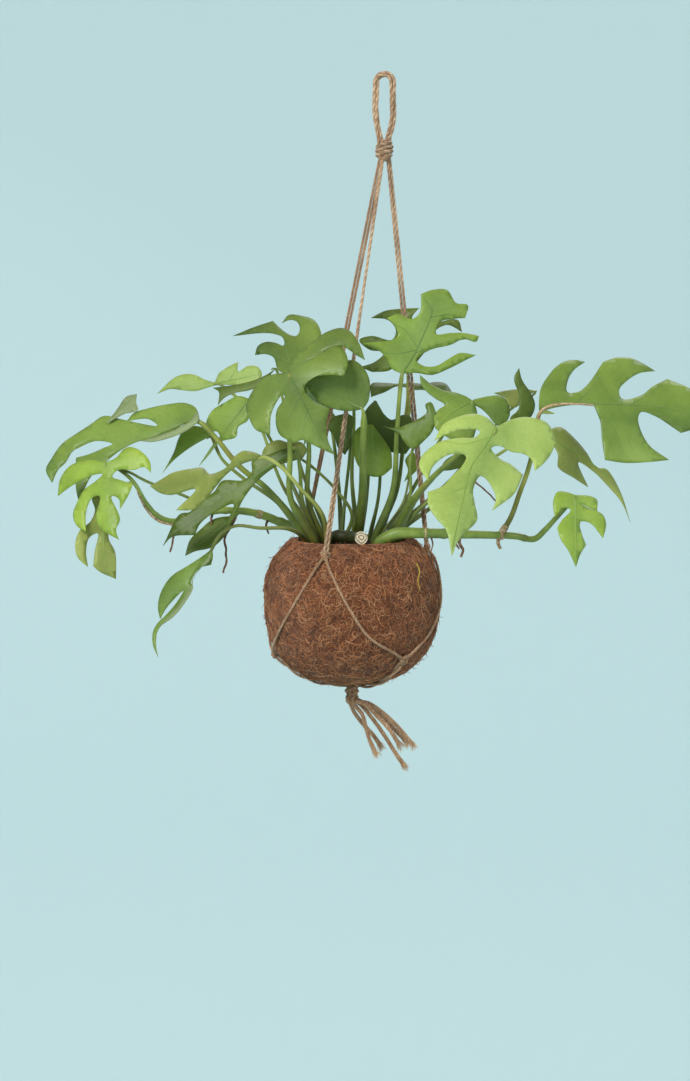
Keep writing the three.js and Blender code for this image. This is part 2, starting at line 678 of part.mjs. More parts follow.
const leftUpperPale = {
  crown: [-60, 22], via: [[290, 480, 42], [258, 420, 62]], radii: [1.8, 1.1],
  blades: [{
    depth: 70, lean: [-0.5, 0.5], tip: [157, 394],
    edge: [[220, 384], [206, 380], [195, 375], [186, 374], [174, 378], [165, 386],
      [157, 394, 1], [170, 389], [180, 390], [196, 391], [206, 388]],
  }, {
    depth: 72.5, lean: [-0.5, 0.5], tip: [262, 374],
    edge: [[214, 384], [219, 373, 1], [228, 367], [238, 362, 1], [238, 372], [248, 366],
      [258, 367], [262, 374], [258, 382], [246, 385], [232, 385]],
  }],
};
const leftStrip = {
  crown: [-48, 18], via: [[305, 480, 22], [285, 410, 20]], radii: [1.6, 1.1],
  blades: [{
    depth: 14, lean: [-0.3, 0.6], tip: [213, 388],
    edge: [[276, 368], [268, 374], [255, 380], [240, 384], [213, 388, 1], [219, 392],
      [218, 405, 1], [224, 398], [235, 393], [250, 390], [262, 384]],
  }],
};
const leftBrightUpper = {
  crown: [-52, 1], via: [[285, 490, 3], [262, 430, 8]], radii: [1.8, 1.1],
  blades: [{
    depth: 6, lean: [-0.5, 0.5], tip: [199, 466],
    edge: [[250, 399], [238, 396], [226, 402], [212, 411], [206, 424], [208, 434],
      [216, 431], [220, 436], [212, 446], [199, 466, 1], [208, 456], [220, 442],
      [236, 437], [238, 427], [248, 420]],
  }],
};
const leftBrightLower = {
  crown: [-68, 3], via: [[280, 505, 4], [240, 462, 10]], radii: [2, 1.2],
  blades: [{
    depth: 12, lean: [-0.55, 0.6], tip: [162, 474],
    edge: [[211, 436], [204, 428], [194, 426], [184, 429], [178, 440], [174, 452],
      [162, 474, 1], [172, 462], [184, 452], [196, 444]],
  }],
};
const leftOlive = {
  crown: [-48, -32], via: [[322, 514, -48], [300, 488, -56], [280, 466, -62]], radii: [2, 1.4],
  blades: [{
    depth: -64, lean: [0.45, 0.6], tip: [160, 490], fold: 0.15,
    edge: [[265, 457], [253, 452], [243, 451], [235, 456], [228, 466], [218, 472],
      [209, 474], [203, 468], [190, 469], [172, 473], [162, 479], [150, 486, 1],
      [160, 493], [172, 495], [196, 489], [176, 510, 1], [192, 510], [204, 502],
      [214, 489], [226, 475], [238, 466], [251, 461]],
  }],
};
const leftDark = {
  crown: [-56, -16], via: [[302, 500, -30], [300, 470, -36]], radii: [2.2, 1.4],
  blades: [{
    depth: -40, lean: [-0.25, 0.3], tip: [170, 535],
    edge: [[297, 447], [284, 449], [268, 455], [252, 461], [252, 472], [244, 480],
      [222, 481], [214, 492], [200, 500], [190, 512], [180, 514], [163, 546, 1], [172, 537],
      [195, 535, 1], [200, 524], [212, 514], [234, 504], [228, 520], [225, 532, 1],
      [234, 518], [243, 500], [253, 486], [264, 475], [278, 465], [292, 456]],
  }],
};
const drooping = {
  crown: [-66, -15], via: [[289, 529, -36], [260, 528, -46], [235, 526, -50], [220, 535, -50]],
  radii: [1.8, 1.2],
  blades: [{
    depth: -50, lean: [-0.5, 0.4], tip: [158, 640],
    edge: [[212, 549], [200, 558], [186, 567], [172, 576], [162, 590], [158, 606],
      [160, 619, 1], [168, 606], [184, 590], [176, 602], [166, 614], [154, 630],
      [153, 645], [158, 657, 1], [158, 632], [168, 620], [178, 610], [192, 588],
      [191, 582], [200, 568], [211, 565, 1], [213, 556]],
  }],
};
const curled = {
  crown: [-34, -18], via: [[352, 515, -24], [337, 491, -26], [316, 470, -28]], radii: [1.6, 1.1],
  blades: [{
    depth: -24, lean: [0, 0.3], tip: [264, 456], hub: [301, 459],
    edge: [[303, 458], [307, 450], [301, 442], [290, 443], [278, 440], [266, 446],
      [262, 456], [270, 466], [286, 463]],
  }],
};
const backDark = {
  crown: [-36, 4], via: [[345, 500, 8], [350, 450, 15], [350, 425, 14]], radii: [1.6, 1.2],
  blades: [{
    depth: 10, lean: [0, 0.3], tip: [345, 455],
    edge: [[347, 413], [332, 418], [328, 428], [334, 436], [338, 448], [345, 455, 1],
      [350, 446], [352, 430], [354, 418]],
  }],
};

// Leaves behind, which hang away from the front
const backLeft = {
  crown: [-36, 34], via: [[338, 480, 48], [330, 420, 58]], radii: [2, 1.3],
  blades: [{
    depth: 60, lean: [-1.1, -1.5], tip: [302, 436],
    edge: [[320, 391], [304, 388], [290, 396], [283, 410, 1], [297, 411], [288, 424],
      [290, 437, 1], [303, 431], [304, 446, 1], [312, 434], [320, 440, 1], [321, 426],
      [338, 420, 1], [330, 408], [327, 398]],
  }],
};
const backMiddle = {
  crown: [-22, 38], via: [[352, 480, 56], [354, 420, 62]], radii: [2, 1.3],
  blades: [{
    depth: 58, lean: [1.2, -2.1], tip: [356, 404],
    edge: [[353, 371], [342, 374], [334, 384], [331, 396, 1], [342, 393], [346, 407, 1],
      [352, 401], [357, 408, 1], [361, 396], [368, 399, 1], [368, 388], [362, 378]],
  }],
};

const leaves = {
  front_left: [frontLeft, LEAF_MID], top_left: [topLeft, LEAF_MID],
  centre_back: [centreBack, LEAF_MID], bright_centre: [brightCentre, LEAF_LIME],
  dark_centre: [darkCentre, LEAF_DARK], small_centre: [smallCentre, LEAF_MID],
  right_mid: [rightMid, LEAF_MID], dark_pointed: [darkPointed, LEAF_DARK],
  front_right: [frontRight, LEAF_LIME], right_olive: [rightOlive, LEAF_OLIVE],
  top_right: [topRight, LEAF_MID], top_right_behind: [topRightBehind, LEAF_DARK],
  back_right: [backRight, LEAF_DARK], grey_behind: [greyBehind, LEAF_OLIVE],
  young: [young, LEAF_LIME], right_low: [rightLow, LEAF_DARK],
  far_left: [farLeft, LEAF_MID], left_upper_pale: [leftUpperPale, LEAF_LIME],
  left_strip: [leftStrip, LEAF_DARK], left_bright_upper: [leftBrightUpper, LEAF_LIME],
  left_bright_lower: [leftBrightLower, LEAF_LIME], left_olive: [leftOlive, LEAF_OLIVE],
  left_dark: [leftDark, LEAF_DARK],
  drooping: [drooping, LEAF_MID], curled: [curled, LEAF_OLIVE],
  back_dark: [backDark, LEAF_DARK],
  back_left: [backLeft, LEAF_MID], back_middle: [backMiddle, LEAF_MID],
};

// Runners: thick creeping stems with leaves, buds and aerial roots of their own
const bigRight = {
  depth: -40, lean: [0.55, 0.6], tip: [728, 430], fold: 0.12,
  edge: [[539, 412], [539, 400], [541, 388], [548, 376], [557, 366], [566, 361],
    [575, 360], [585, 362, 1], [574, 370], [568, 380], [567, 392], [578, 392], [588, 384],
    [603, 362, 1], [615, 358], [630, 358], [642, 363], [655, 371, 1], [640, 373],
    [628, 380], [619, 390], [622, 399], [642, 395], [652, 387], [667, 379, 1],
    [680, 384], [695, 391], [712, 404], [728, 430, 1], [710, 428], [696, 429],
    [681, 433, 1], [668, 424], [655, 416], [641, 412], [638, 420], [648, 444],
    [669, 460, 1], [650, 462], [625, 463], [605, 460, 1], [602, 440], [600, 420],
    [594, 406, 1], [575, 405], [558, 407]],
};
const smallRight = {
  depth: -68, lean: [0.55, 0.5], tip: [576, 567], fold: 0.15,
  edge: [[575, 495], [566, 492], [557, 492], [553, 503], [555, 517, 1], [563, 508],
    [571, 510], [562, 520], [557, 528, 1], [561, 540], [568, 550], [576, 567, 1],
    [580, 555], [586, 545, 1], [582, 535], [580, 522], [590, 523], [603, 538, 1],
    [606, 524], [602, 514], [588, 508], [578, 503], [597, 511, 1], [597, 500], [590, 496]],
};
const leftLime = {
  depth: -34, lean: [-0.45, 0.45], tip: [119, 540], fold: 0.1,
  edge: [[106, 462], [116, 458], [124, 449], [131, 447], [142, 452], [150, 462],
    [151, 473, 1], [144, 467], [134, 470], [118, 470], [112, 477], [120, 480],
    [133, 484, 1], [128, 496], [120, 509, 1], [119, 499], [111, 496], [120, 519],
    [116, 530], [119, 540, 1], [100, 528], [96, 518], [100, 496], [92, 498], [86, 512],
    [86, 532, 1], [77, 526], [73, 515], [77, 503], [84, 490], [96, 481], [103, 474],
    [90, 476], [70, 487], [58, 496, 1], [60, 480], [70, 466], [88, 460]],
};
const leftHanging = {
  depth: -22, lean: [0.45, 0.35], tip: [105, 570],
  edge: [[101, 494], [92, 498], [95, 510], [90, 522], [80, 530], [75, 545], [78, 558],
    [88, 567, 1], [86, 552], [89, 538], [98, 533], [95, 550], [93, 566, 1], [100, 572],
    [116, 579, 1], [115, 552], [109, 540], [108, 530], [104, 515]],
};
const lowDark = {
  depth: 3, lean: [0, 0.5], tip: [185, 556],
  edge: [[235, 516], [222, 517], [212, 520], [200, 530], [190, 540], [185, 556, 1],
    [196, 551], [207, 549], [216, 545], [226, 534]],
};

function runnerRight() {
  const path = [[395, 534, -34], [420, 533, -34], [455, 534, -32], [490, 535, -30],
    [515, 536, -32], [534, 539, -40], [545, 530, -48], [555, 519, -56], [566, 507, -64]];
  const petiole = [[501, 534, -30], [511, 517, -31], [520, 492, -33], [528, 470, -35],
    [535, 440, -38], [538, 418, -40]];
  const parts = [
    rooted([-4, -30], [...path, ...hubPoints(smallRight)], 5, 1.6), blade(smallRight),
    rib([...petiole, ...hubPoints(bigRight)], 2.4), blade(bigRight),
    rib([[460, 536, -32], [458, 546, -32], [461, 556, -32]], 1.4),
    rib([[499, 537, -30], [499, 548, -30]], 1.8),
  ];
  return parts.reduce((body, piece) => body.add(piece));
}

function runnerLeft() {
  const path = [[275, 520, 14], [262, 515, 14], [243, 511, 10], [215, 511, 0],
    [190, 517, -10], [173, 521, -16], [158, 516, -20], [146, 503, -24], [131, 479, -30]];
  const parts = [
    rooted([-58, 11], [...path, ...hubPoints(leftLime)], 4.2, 1.4), blade(leftLime),
    rib([[133, 482, -30], [114, 488, -26], ...hubPoints(leftHanging)], 1.3),
    blade(leftHanging),
    rib([[240, 511, 9], ...hubPoints(lowDark)], 1.5), blade(lowDark),
    rib([[238, 512, 8], [225, 537, 8], [226, 562, 8], [223, 573, 8]], 1.4),
    rib([[173, 523, -16], [173, 539, -16], [170, 552, -16]], 1.2),
  ];
  return parts.reduce((body, piece) => body.add(piece));
}

// Tassel: the six cord ends that hang out of the bottom knot
const tails = {
  left: [[352, 703, -4], [357, 708, -5], [362, 714, -7], [366, 728, -7], [370, 741, -6], [375, 752, -6]],
  front: [[363, 703, -9], [377, 716, -11], [389, 729, -11], [399, 744, -9]],
  right: [[368, 703, -4], [383, 713, -2], [396, 725, -2], [412, 744, -1]],
  long: [[362, 706, 3], [375, 722, 5], [388, 741, 5], [396, 754, 3], [404, 765, 2]],
  back: [[358, 700, 9], [368, 706, 11], [382, 716, 12], [394, 729, 13], [406, 741, 13]],
  short: [[350, 703, 8], [354, 712, 15], [363, 724, 18], [373, 735, 18], [380, 745, 17]],
};
const TAIL_RING = 4.1;           // the cord ends leave the knot in a ring
const TAIL_PLACES = { left: 310, front: 10, right: 70, long: 130, back: 190, short: 250 };

function tassel() {
  const [x, y, z] = BOTTOM_KNOT;
  const underside = z - BOTTOM_KNOT_SIZE[1] / 2 - GAP;
  for (const [name, drawn] of Object.entries(tails)) {
    const angle = THREE.MathUtils.degToRad(TAIL_PLACES[name]);
    const start = new THREE.Vector3(
      x + TAIL_RING * Math.sin(angle), y - TAIL_RING * Math.cos(angle), underside);
    const below = start.clone().add(new THREE.Vector3(0, 0, -4));
    const route = [start, below, ...drawn.map((p) => at(...p))];
    add(`tassel_cord_${name}`, geometryOf(cord(route, CORD, 8)), JUTE, 0.9);
  }
}

// Cut stub: the sawn end of an old stem, which lies on the soil and faces the front
function cutStub() {
  const path = [[337, 536, -24], [349, 537, -30], [358, 538, -39], [361, 538, -48]];
  return rooted([-45, -19], path, 5.2, 5.2);
}

sling();
hangingLoop();
tassel();
add("runner_right", geometryOf(runnerRight()), STEM_GREEN);
add("runner_left", geometryOf(runnerLeft()), STEM_GREEN);
add("cut_stub", geometryOf(cutStub()), STEM_GREEN);
for (const [name, [plan, colour]] of Object.entries(leaves)) {
  add(`leaf_${name}`, geometryOf(leafBody(plan)), colour);
}
let earth = soilBody();
for (const hole of stalkHoles) earth = earth.subtract(hole);
add("soil", geometryOf(earth), EARTH, 1);
add("coir_ball", geometryOf(coirBowl()), COIR, 1);

export default part;
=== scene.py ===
# %% Load the frame
import math
import random

import bmesh
import bpy
from mathutils import Euler, Matrix, Vector, noise


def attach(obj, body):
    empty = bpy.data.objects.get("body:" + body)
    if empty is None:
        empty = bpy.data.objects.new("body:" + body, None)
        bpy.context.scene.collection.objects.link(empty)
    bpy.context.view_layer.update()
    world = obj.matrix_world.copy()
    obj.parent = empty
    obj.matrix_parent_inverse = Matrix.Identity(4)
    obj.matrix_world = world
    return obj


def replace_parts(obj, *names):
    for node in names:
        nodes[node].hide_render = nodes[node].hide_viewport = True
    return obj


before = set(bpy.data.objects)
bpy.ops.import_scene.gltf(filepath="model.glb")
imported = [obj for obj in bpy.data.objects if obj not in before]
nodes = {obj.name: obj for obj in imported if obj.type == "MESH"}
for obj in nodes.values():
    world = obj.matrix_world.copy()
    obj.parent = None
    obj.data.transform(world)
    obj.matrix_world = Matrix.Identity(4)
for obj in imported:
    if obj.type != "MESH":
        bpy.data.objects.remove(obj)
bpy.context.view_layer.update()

MM = 0.001

# %% [markdown]
# The camera comes first, because everything later is judged through it. The plant is seen
# from 2.4 m away, from five degrees above, with a long lens, as a product shot would be.
# The leaves are drawn as they look from there: a drawing point is 0.85 mm at the depth of
# the ball, and at() gives its place in space once its depth is known.

# %% Camera
POINT = 0.85 * MM
VIEW_DISTANCE = 2.4
VIEW_TILT = math.radians(5)
VIEW_CENTRE = (345, 540.5)
VIEW_TARGET = Vector((-33 * MM, 0, -389 * MM))
SENSOR = 24
EYE = VIEW_TARGET + VIEW_DISTANCE * Vector((0, -math.cos(VIEW_TILT), math.sin(VIEW_TILT)))

camera = bpy.data.objects.new("camera", bpy.data.cameras.new("camera"))
bpy.context.collection.objects.link(camera)
camera.location = EYE
camera.rotation_euler = Euler((math.pi / 2 - VIEW_TILT, 0, 0))
camera.data.sensor_fit = "VERTICAL"
camera.data.sensor_height = SENSOR
camera.data.lens = SENSOR * VIEW_DISTANCE / (2 * VIEW_CENTRE[1] * POINT)
camera.data.clip_end = 20
bpy.context.scene.camera = camera
print("lens in mm:", round(camera.data.lens, 2))


def at(px, py, y):
    """The place of a drawn point that lies at depth y, in metres."""
    right = (px - VIEW_CENTRE[0]) * POINT / VIEW_DISTANCE
    up = (VIEW_CENTRE[1] - py) * POINT / VIEW_DISTANCE
    sin, cos = math.sin(VIEW_TILT), math.cos(VIEW_TILT)
    ray = Vector((right, cos + up * sin, -sin + up * cos))
    return EYE + ray * ((y - EYE.y) / ray.y)


# %% [markdown]
# Nearly everything on this plant is a line that bends in space: cords, stalks, runners and
# roots. A few given points are rounded off into an even run of points, and frames are
# carried along that run without twisting, so that strands can later wind around it.

# %% Lines in space
def rounded(points, step):
    """An even run of points, step apart, on a smooth curve through the given points."""
    ends = [2 * points[0] - points[1], *points, 2 * points[-1] - points[-2]]
    dense = []
    for a, b, c, d in zip(ends, ends[1:], ends[2:], ends[3:]):
        t1 = (b - a).length ** 0.5
        t2 = t1 + (c - b).length ** 0.5
        t3 = t2 + (d - c).length ** 0.5
        for i in range(12):
            t = t1 + (t2 - t1) * i / 12
            ab = a.lerp(b, t / t1)
            bc = b.lerp(c, (t - t1) / (t2 - t1))
            cd = c.lerp(d, (t - t2) / (t3 - t2))
            dense.append(ab.lerp(bc, t / t2).lerp(bc.lerp(cd, (t - t1) / (t3 - t1)),
                                                  (t - t1) / (t2 - t1)))
    dense.append(points[-1].copy())
    reach = [0.0]
    for p, q in zip(dense, dense[1:]):
        reach.append(reach[-1] + (q - p).length)
    count = max(2, round(reach[-1] / step))
    run, i = [], 0
    for k in range(count + 1):
        goal = reach[-1] * k / count
        while i < len(dense) - 2 and reach[i + 1] < goal:
            i += 1
        span = reach[i + 1] - reach[i]
        run.append(dense[i].lerp(dense[i + 1], min(1, (goal - reach[i]) / span) if span else 0))
    return run


def frames_along(run):
    """(tangent, side, up) at each point of a run, turned as little as possible."""
    side = Vector((0.31, 0.9, 0.3))
    result = []
    for i in range(len(run)):
        tangent = (run[min(i + 1, len(run) - 1)] - run[max(i - 1, 0)]).normalized()
        side = (side - side.dot(tangent) * tangent).normalized()
        result.append((tangent, side, tangent.cross(side)))
    return result


def run_length(run):
    """The length of a run of points."""
    return sum((q - p).length for p, q in zip(run, run[1:]))


def tubes(name, lines, materials, sides=5):
    """One mesh of round tubes. Each line is (points, radii, material number)."""
    curve = bpy.data.curves.new(name, "CURVE")
    curve.dimensions = "3D"
    profile = bpy.data.curves.new(name + "_section", "CURVE")
    profile.dimensions = "2D"
    ring = profile.splines.new("POLY")
    ring.points.add(sides - 1)
    ring.use_cyclic_u = True
    for k, p in enumerate(ring.points):
        angle = -2 * math.pi * k / sides
        p.co = (math.cos(angle), math.sin(angle), 0, 1)
    section = bpy.data.objects.new(name + "_section", profile)
    for material in materials:
        curve.materials.append(material)
    curve.bevel_mode = "OBJECT"
    curve.bevel_object = section
    curve.use_fill_caps = True
    for points, radii, number in lines:
        spline = curve.splines.new("POLY")
        spline.points.add(len(points) - 1)
        spline.material_index = number
        for p, place, radius in zip(spline.points, points, radii):
            p.co = (*place, 1)
            p.radius = radius
    drawn = bpy.data.objects.new(name + "_curve", curve)
    bpy.context.collection.objects.link(drawn)
    bpy.context.view_layer.update()
    mesh = bpy.data.meshes.new_from_object(
        drawn.evaluated_get(bpy.context.evaluated_depsgraph_get()))
    mesh.name = name
    bpy.data.objects.remove(drawn)
    bpy.data.objects.remove(section)
    bpy.data.curves.remove(curve)
    bpy.data.curves.remove(profile)
    return placed(name, mesh, materials)


def placed(name, mesh, materials):
    """A finished piece of the plant, which hangs on the root body."""
    for material in materials[len(mesh.materials):]:
        mesh.materials.append(material)
    for face in mesh.polygons:
        face.use_smooth = True
    piece = bpy.data.objects.new(name, mesh)
    bpy.context.collection.objects.link(piece)
    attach(piece, "root")
    print(name, "has", sum(len(f.vertices) - 2 for f in mesh.polygons), "triangles")
    return piece

# %% [markdown]
# Jute twine is three strands that wind around each other, rough and golden brown, with short
# hairs that stand off it. Fine noise gives the fibres of the finish and coarse noise its worn
# patches. A real third dimension does the rest: every strand is modelled, because a bump on
# one smooth tube doesn't cast the small shadows of a twist.

# %% Finishes: a helper for node materials
def finish_named(name, roughness, sheen=0.0, specular=0.5):
    """A material whose shader takes its plain values on its own sockets."""
    material = bpy.data.materials.new(name)
    material.use_nodes = True
    shader = material.node_tree.nodes["Principled BSDF"]
    shader.inputs["Roughness"].default_value = roughness
    shader.inputs["Sheen Weight"].default_value = sheen
    shader.inputs["Specular IOR Level"].default_value = specular
    return material, material.node_tree, shader


def node(tree, kind, **values):
    """A new node, with its settings by name and its sockets by their own labels."""
    made = tree.nodes.new("ShaderNode" + kind)
    for key, value in values.items():
        if key in made.inputs:
            made.inputs[key].default_value = value
        else:
            setattr(made, key, value)
    return made


def ramp(tree, source, stops):
    """Colours along a value from 0 to 1. stops: (place, (r, g, b))."""
    made = tree.nodes.new("ShaderNodeValToRGB")
    elements = made.color_ramp.elements
    while len(elements) < len(stops):
        elements.new(0.5)
    for element, (place, colour) in zip(elements, stops):
        element.position = place
        element.color = (*colour, 1)
    tree.links.new(source, made.inputs["Fac"])
    return made.outputs["Color"]


def speckle(tree, scale, detail=4, stretch=(1, 1, 1), distortion=0.0):
    """Noise in the plant's own coordinates, in metres. scale is in spots per metre."""
    coords = node(tree, "TexCoord")
    mapping = node(tree, "Mapping")
    mapping.inputs["Scale"].default_value = stretch
    made = node(tree, "TexNoise", Scale=scale, Detail=detail, Distortion=distortion)
    tree.links.new(coords.outputs["Object"], mapping.inputs["Vector"])
    tree.links.new(mapping.outputs["Vector"], made.inputs["Vector"])
    return made.outputs["Fac"]


def raised(tree, shader, height, strength, distance):
    """Relief on a finish, distance in metres."""
    made = node(tree, "Bump", Strength=strength, Distance=distance)
    tree.links.new(height, made.inputs["Height"])
    tree.links.new(made.outputs["Normal"], shader.inputs["Normal"])


def feed(tree, sockets, values):
    """Sets sockets to numbers, or links other nodes' outputs to them."""
    for socket, value in zip(sockets, values):
        if isinstance(value, (int, float)):
            socket.default_value = value
        else:
            tree.links.new(value, socket)


def multiplied(tree, factor, first, second):
    """Two colours multiplied. At a factor under 1 the first one stays in part."""
    return mixed(tree, factor, first, second, "MULTIPLY")


def mixed(tree, factor, first, second, how="MIX"):
    """Two colours mixed by a factor, in one of the ways of Blender's Mix node."""
    made = node(tree, "Mix", data_type="RGBA", blend_type=how)
    colours = [socket for socket in made.inputs if socket.type == "RGBA"]
    feed(tree, [made.inputs[0], *colours], [factor, first, second])
    return next(socket for socket in made.outputs if socket.type == "RGBA")


# %% Finish of the jute
def jute_finish(name, dark, mid, light):
    """Rough fibre with fine streaks, worn patches and a rough relief."""
    material, tree, shader = finish_named(name, 0.85, sheen=0.25, specular=0.2)
    streaks = ramp(tree, speckle(tree, 900, 5), [(0.30, dark), (0.5, mid), (0.72, light)])
    patches = ramp(tree, speckle(tree, 45, 3), [(0.3, (0.62, 0.55, 0.5)), (0.7, (1.15, 1.1, 1.05))])
    tree.links.new(multiplied(tree, 1.0, streaks, patches), shader.inputs["Base Color"])
    raised(tree, shader, speckle(tree, 2600, 3), 0.7, 0.25 * MM)
    return material


JUTE = jute_finish("jute", (0.19, 0.102, 0.052), (0.37, 0.235, 0.140), (0.57, 0.405, 0.270))
JUTE_PALE = jute_finish("jute_pale", (0.36, 0.225, 0.125), (0.60, 0.43, 0.28), (0.80, 0.63, 0.46))
JUTES = [JUTE, JUTE_PALE, jute_finish("jute_dull", (0.15, 0.070, 0.034), (0.36, 0.210, 0.112),
                                      (0.53, 0.345, 0.205)), JUTE]
print("jute finishes made")

# %% [markdown]
# A cord's three strands follow helices around the cord's line. The strands all but touch,
# so their radius and the helix's radius share the cord's own radius between them. One turn
# takes a little over two diameters, as in real twine.

# %% Twisted cord
CORD = 3.4 * MM
CORD_STEP = 1.1 * MM
PLY = 3
PLY_TURN = 2.4
HELIX_SHARE, STRAND_SHARE = 0.275, 0.228


def around(angle, side, up):
    """The direction that points away from a line, at an angle around it."""
    return math.cos(angle) * side + math.sin(angle) * up


def followed(run):
    """The length so far, the place and the two directions across, at each point of a run."""
    along = 0.0
    for i, (centre, (_, side, up)) in enumerate(zip(run, frames_along(run))):
        if i:
            along += (centre - run[i - 1]).length
        yield along, centre, side, up


def plies(route, diameter=CORD, step=CORD_STEP, start=0.0, taper=None, number=0):
    """The strands of one twisted cord along a run of points. Every third strand is paler, with
    the next material number."""
    run = rounded(route, step)
    lines = []
    for k in range(PLY):
        points, radii = [], []
        for i, (along, centre, side, up) in enumerate(followed(run)):
            swell = taper(i / (len(run) - 1)) if taper else 1
            angle = start + 2 * math.pi * (k / PLY + along / (PLY_TURN * diameter))
            points.append(centre + diameter * HELIX_SHARE * swell * around(angle, side, up))
            uneven = 1 + 0.08 * noise.noise(centre * 400)
            radii.append(diameter * STRAND_SHARE * swell * uneven)
        lines.append((points, radii, number + (k == PLY - 1)))
    return lines


def pair(route, diameter, turn, start=0.0, number=0):
    """Two cords that run side by side and slowly wind around each other."""
    run = rounded(route, 4 * MM)
    lines = []
    for k in (0, 1):
        points = [centre + diameter / 2 * around(start + math.pi * k + 2 * math.pi * along / turn,
                                                 side, up)
                  for along, centre, side, up in followed(run)]
        lines += plies(points, diameter, start=2.1 * k, number=number)
    return lines


# %% [markdown]
# The ball's outline is a short list of radii and levels below the rim. on_ball() gives a
# place on it from a compass angle and a distance down the outline, so that knots and cords
# lie on the surface instead of near it.

# %% Places on the ball
BALL_X = -27 * MM
RIM_Z = -388.6 * MM
OUTLINE = [(53.5, 0), (67, -16), (73, -32.3), (74.4, -51), (73.3, -68), (68.8, -84),
           (63.5, -94.4), (52, -106.5), (41, -114), (22, -120), (0, -121.5)]
ball_line = rounded([Vector((r, 0, z)) * MM for r, z in OUTLINE], 0.5 * MM)


def on_ball(azimuth, s, out):
    """azimuth in degrees, 0 at the front and turning right; s from 0 at the rim to 1 below."""
    i = min(len(ball_line) - 2, max(0, round(s * (len(ball_line) - 1))))
    p = ball_line[i]
    along = (ball_line[i + 1] - ball_line[max(0, i - 1)]).normalized()
    radius = p.x - out * along.z
    angle = math.radians(azimuth)
    return Vector((BALL_X + radius * math.sin(angle), -radius * math.cos(angle),
                   RIM_Z + p.z + out * along.x))


print("widest radius of the ball in mm:", round(max(p.x for p in ball_line) / MM, 1))

# %% [markdown]
# The tassel is the six cord ends that are left over below the bottom knot. They are the only
# cords that hang free, and the length of each is printed. A tail leaves the knot
# straight down, bends to the right with the others and ends in loose, paler strands.

# %% Tassel
KNOT_Z = -60 * MM
TOP_KNOT = (8 * MM, 15 * MM)
BOTTOM_KNOT = Vector((BALL_X, 0, RIM_Z - 128 * MM))
BOTTOM_KNOT_SIZE = (6.6 * MM, 10.5 * MM)
TAIL_RING = 4.1 * MM
GAP = 0.3 * MM
TAILS = {
    "left": (310, [(352, 703, -4), (357, 708, -5), (362, 714, -7), (366, 728, -7),
                   (370, 741, -6), (375, 752, -6)]),
    "front": (10, [(363, 703, -9), (377, 716, -11), (389, 729, -11), (399, 744, -9)]),
    "right": (70, [(368, 703, -4), (383, 713, -2), (396, 725, -2), (412, 744, -1)]),
    "long": (130, [(362, 706, 3), (375, 722, 5), (388, 741, 5), (396, 754, 3), (404, 765, 2)]),
    "back": (190, [(358, 700, 9), (368, 706, 11), (382, 716, 12), (394, 729, 13),
                   (406, 741, 13)]),
    "short": (250, [(350, 703, 8), (354, 712, 15), (363, 724, 18), (373, 735, 18),
                    (380, 745, 17)]),
}
FRAY_FIBRES = 90
draw = random.Random(7)


def drawn_line(points):
    """Places in space from drawn points and depths in mm."""
    return [at(px, py, depth * MM) for px, py, depth in points]


def tail_route(place, drawn):
    """From its place in the knot, an angle in degrees, through the drawn points."""
    angle = math.radians(place)
    start = Vector((BALL_X + TAIL_RING * math.sin(angle), -TAIL_RING * math.cos(angle),
                    BOTTOM_KNOT.z - BOTTOM_KNOT_SIZE[1] / 2 - GAP))
    return [start, start - Vector((0, 0, 4 * MM)), *drawn_line(drawn)]


def hairs(lines, chance):
    """Short fibres that stand off the strands of cords. chance is per point of a strand."""
    found = []
    for points, radii, _ in lines:
        for i in range(2, len(points) - 2):
            if draw.random() > chance:
                continue
            tangent, side, up = frames_along(points[i - 1:i + 2])[1]
            angle, length = draw.uniform(0, 2 * math.pi), draw.uniform(1.2, 4.5) * MM
            out = around(angle, side, up)
            along = tangent * draw.choice((-1, 1))
            root = points[i] + out * radii[i] * 0.7
            middle = root + (along * 0.7 + out * 0.45) * length * 0.5
            tip = middle + (along * 0.4 + out * draw.uniform(-0.3, 0.8)) * length * 0.5
            found.append(([root, middle, tip], [0.10 * MM, 0.09 * MM, 0.05 * MM], 0))
    return found


def frayed(run):
    """Loose fibres that fan out of the end of a cord."""
    end, before = run[-1], run[-4]
    tangent, side, up = frames_along([before, end])[1]
    lines = []
    for _ in range(FRAY_FIBRES):
        angle, lean = draw.uniform(0, 2 * math.pi), draw.uniform(0.02, 0.42)
        out = around(angle, side, up)
        length = draw.uniform(3, 8) * MM
        root = end - tangent * draw.uniform(1, 5) * MM + out * draw.uniform(0.2, 1.4) * MM
        bend = tangent * length * 0.5 + out * lean * length * 0.5
        tip = tangent * length * 0.95 + out * lean * length * draw.uniform(0.8, 1.6)
        tip.z -= length * 0.15
        radius = draw.uniform(0.15, 0.30) * MM
        lines.append(([root, root + bend, root + tip], [radius, radius, radius * 0.4], 0))
    return lines


JUTE_FRAYED = jute_finish("jute_frayed", (0.42, 0.26, 0.14), (0.62, 0.43, 0.25), (0.80, 0.62, 0.42))
for tail, (place, drawn) in TAILS.items():
    run = rounded(tail_route(place, drawn), CORD_STEP)
    wound = plies(run, start=place, number=2, taper=lambda t: 1.16 + 0.2 * max(0, t - 0.8) / 0.2)
    strands = tubes("tassel_" + tail, wound, JUTES, sides=6)
    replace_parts(strands, "tassel_cord_" + tail)
    ends = tubes("tassel_end_" + tail, frayed(run) + hairs(wound, 0.2), [JUTE_FRAYED], sides=3)
    print("tail", tail, "is", round(run_length(run) / MM), "mm long")

# %% [markdown]
# The sling is knotted from three long pairs of cords. Each pair comes down from the top knot
# to a shoulder knot at the rim, parts into two single cords that cross the ball's side, meets
# its neighbours' cords in the lower knots and runs on under the ball to the bottom knot.

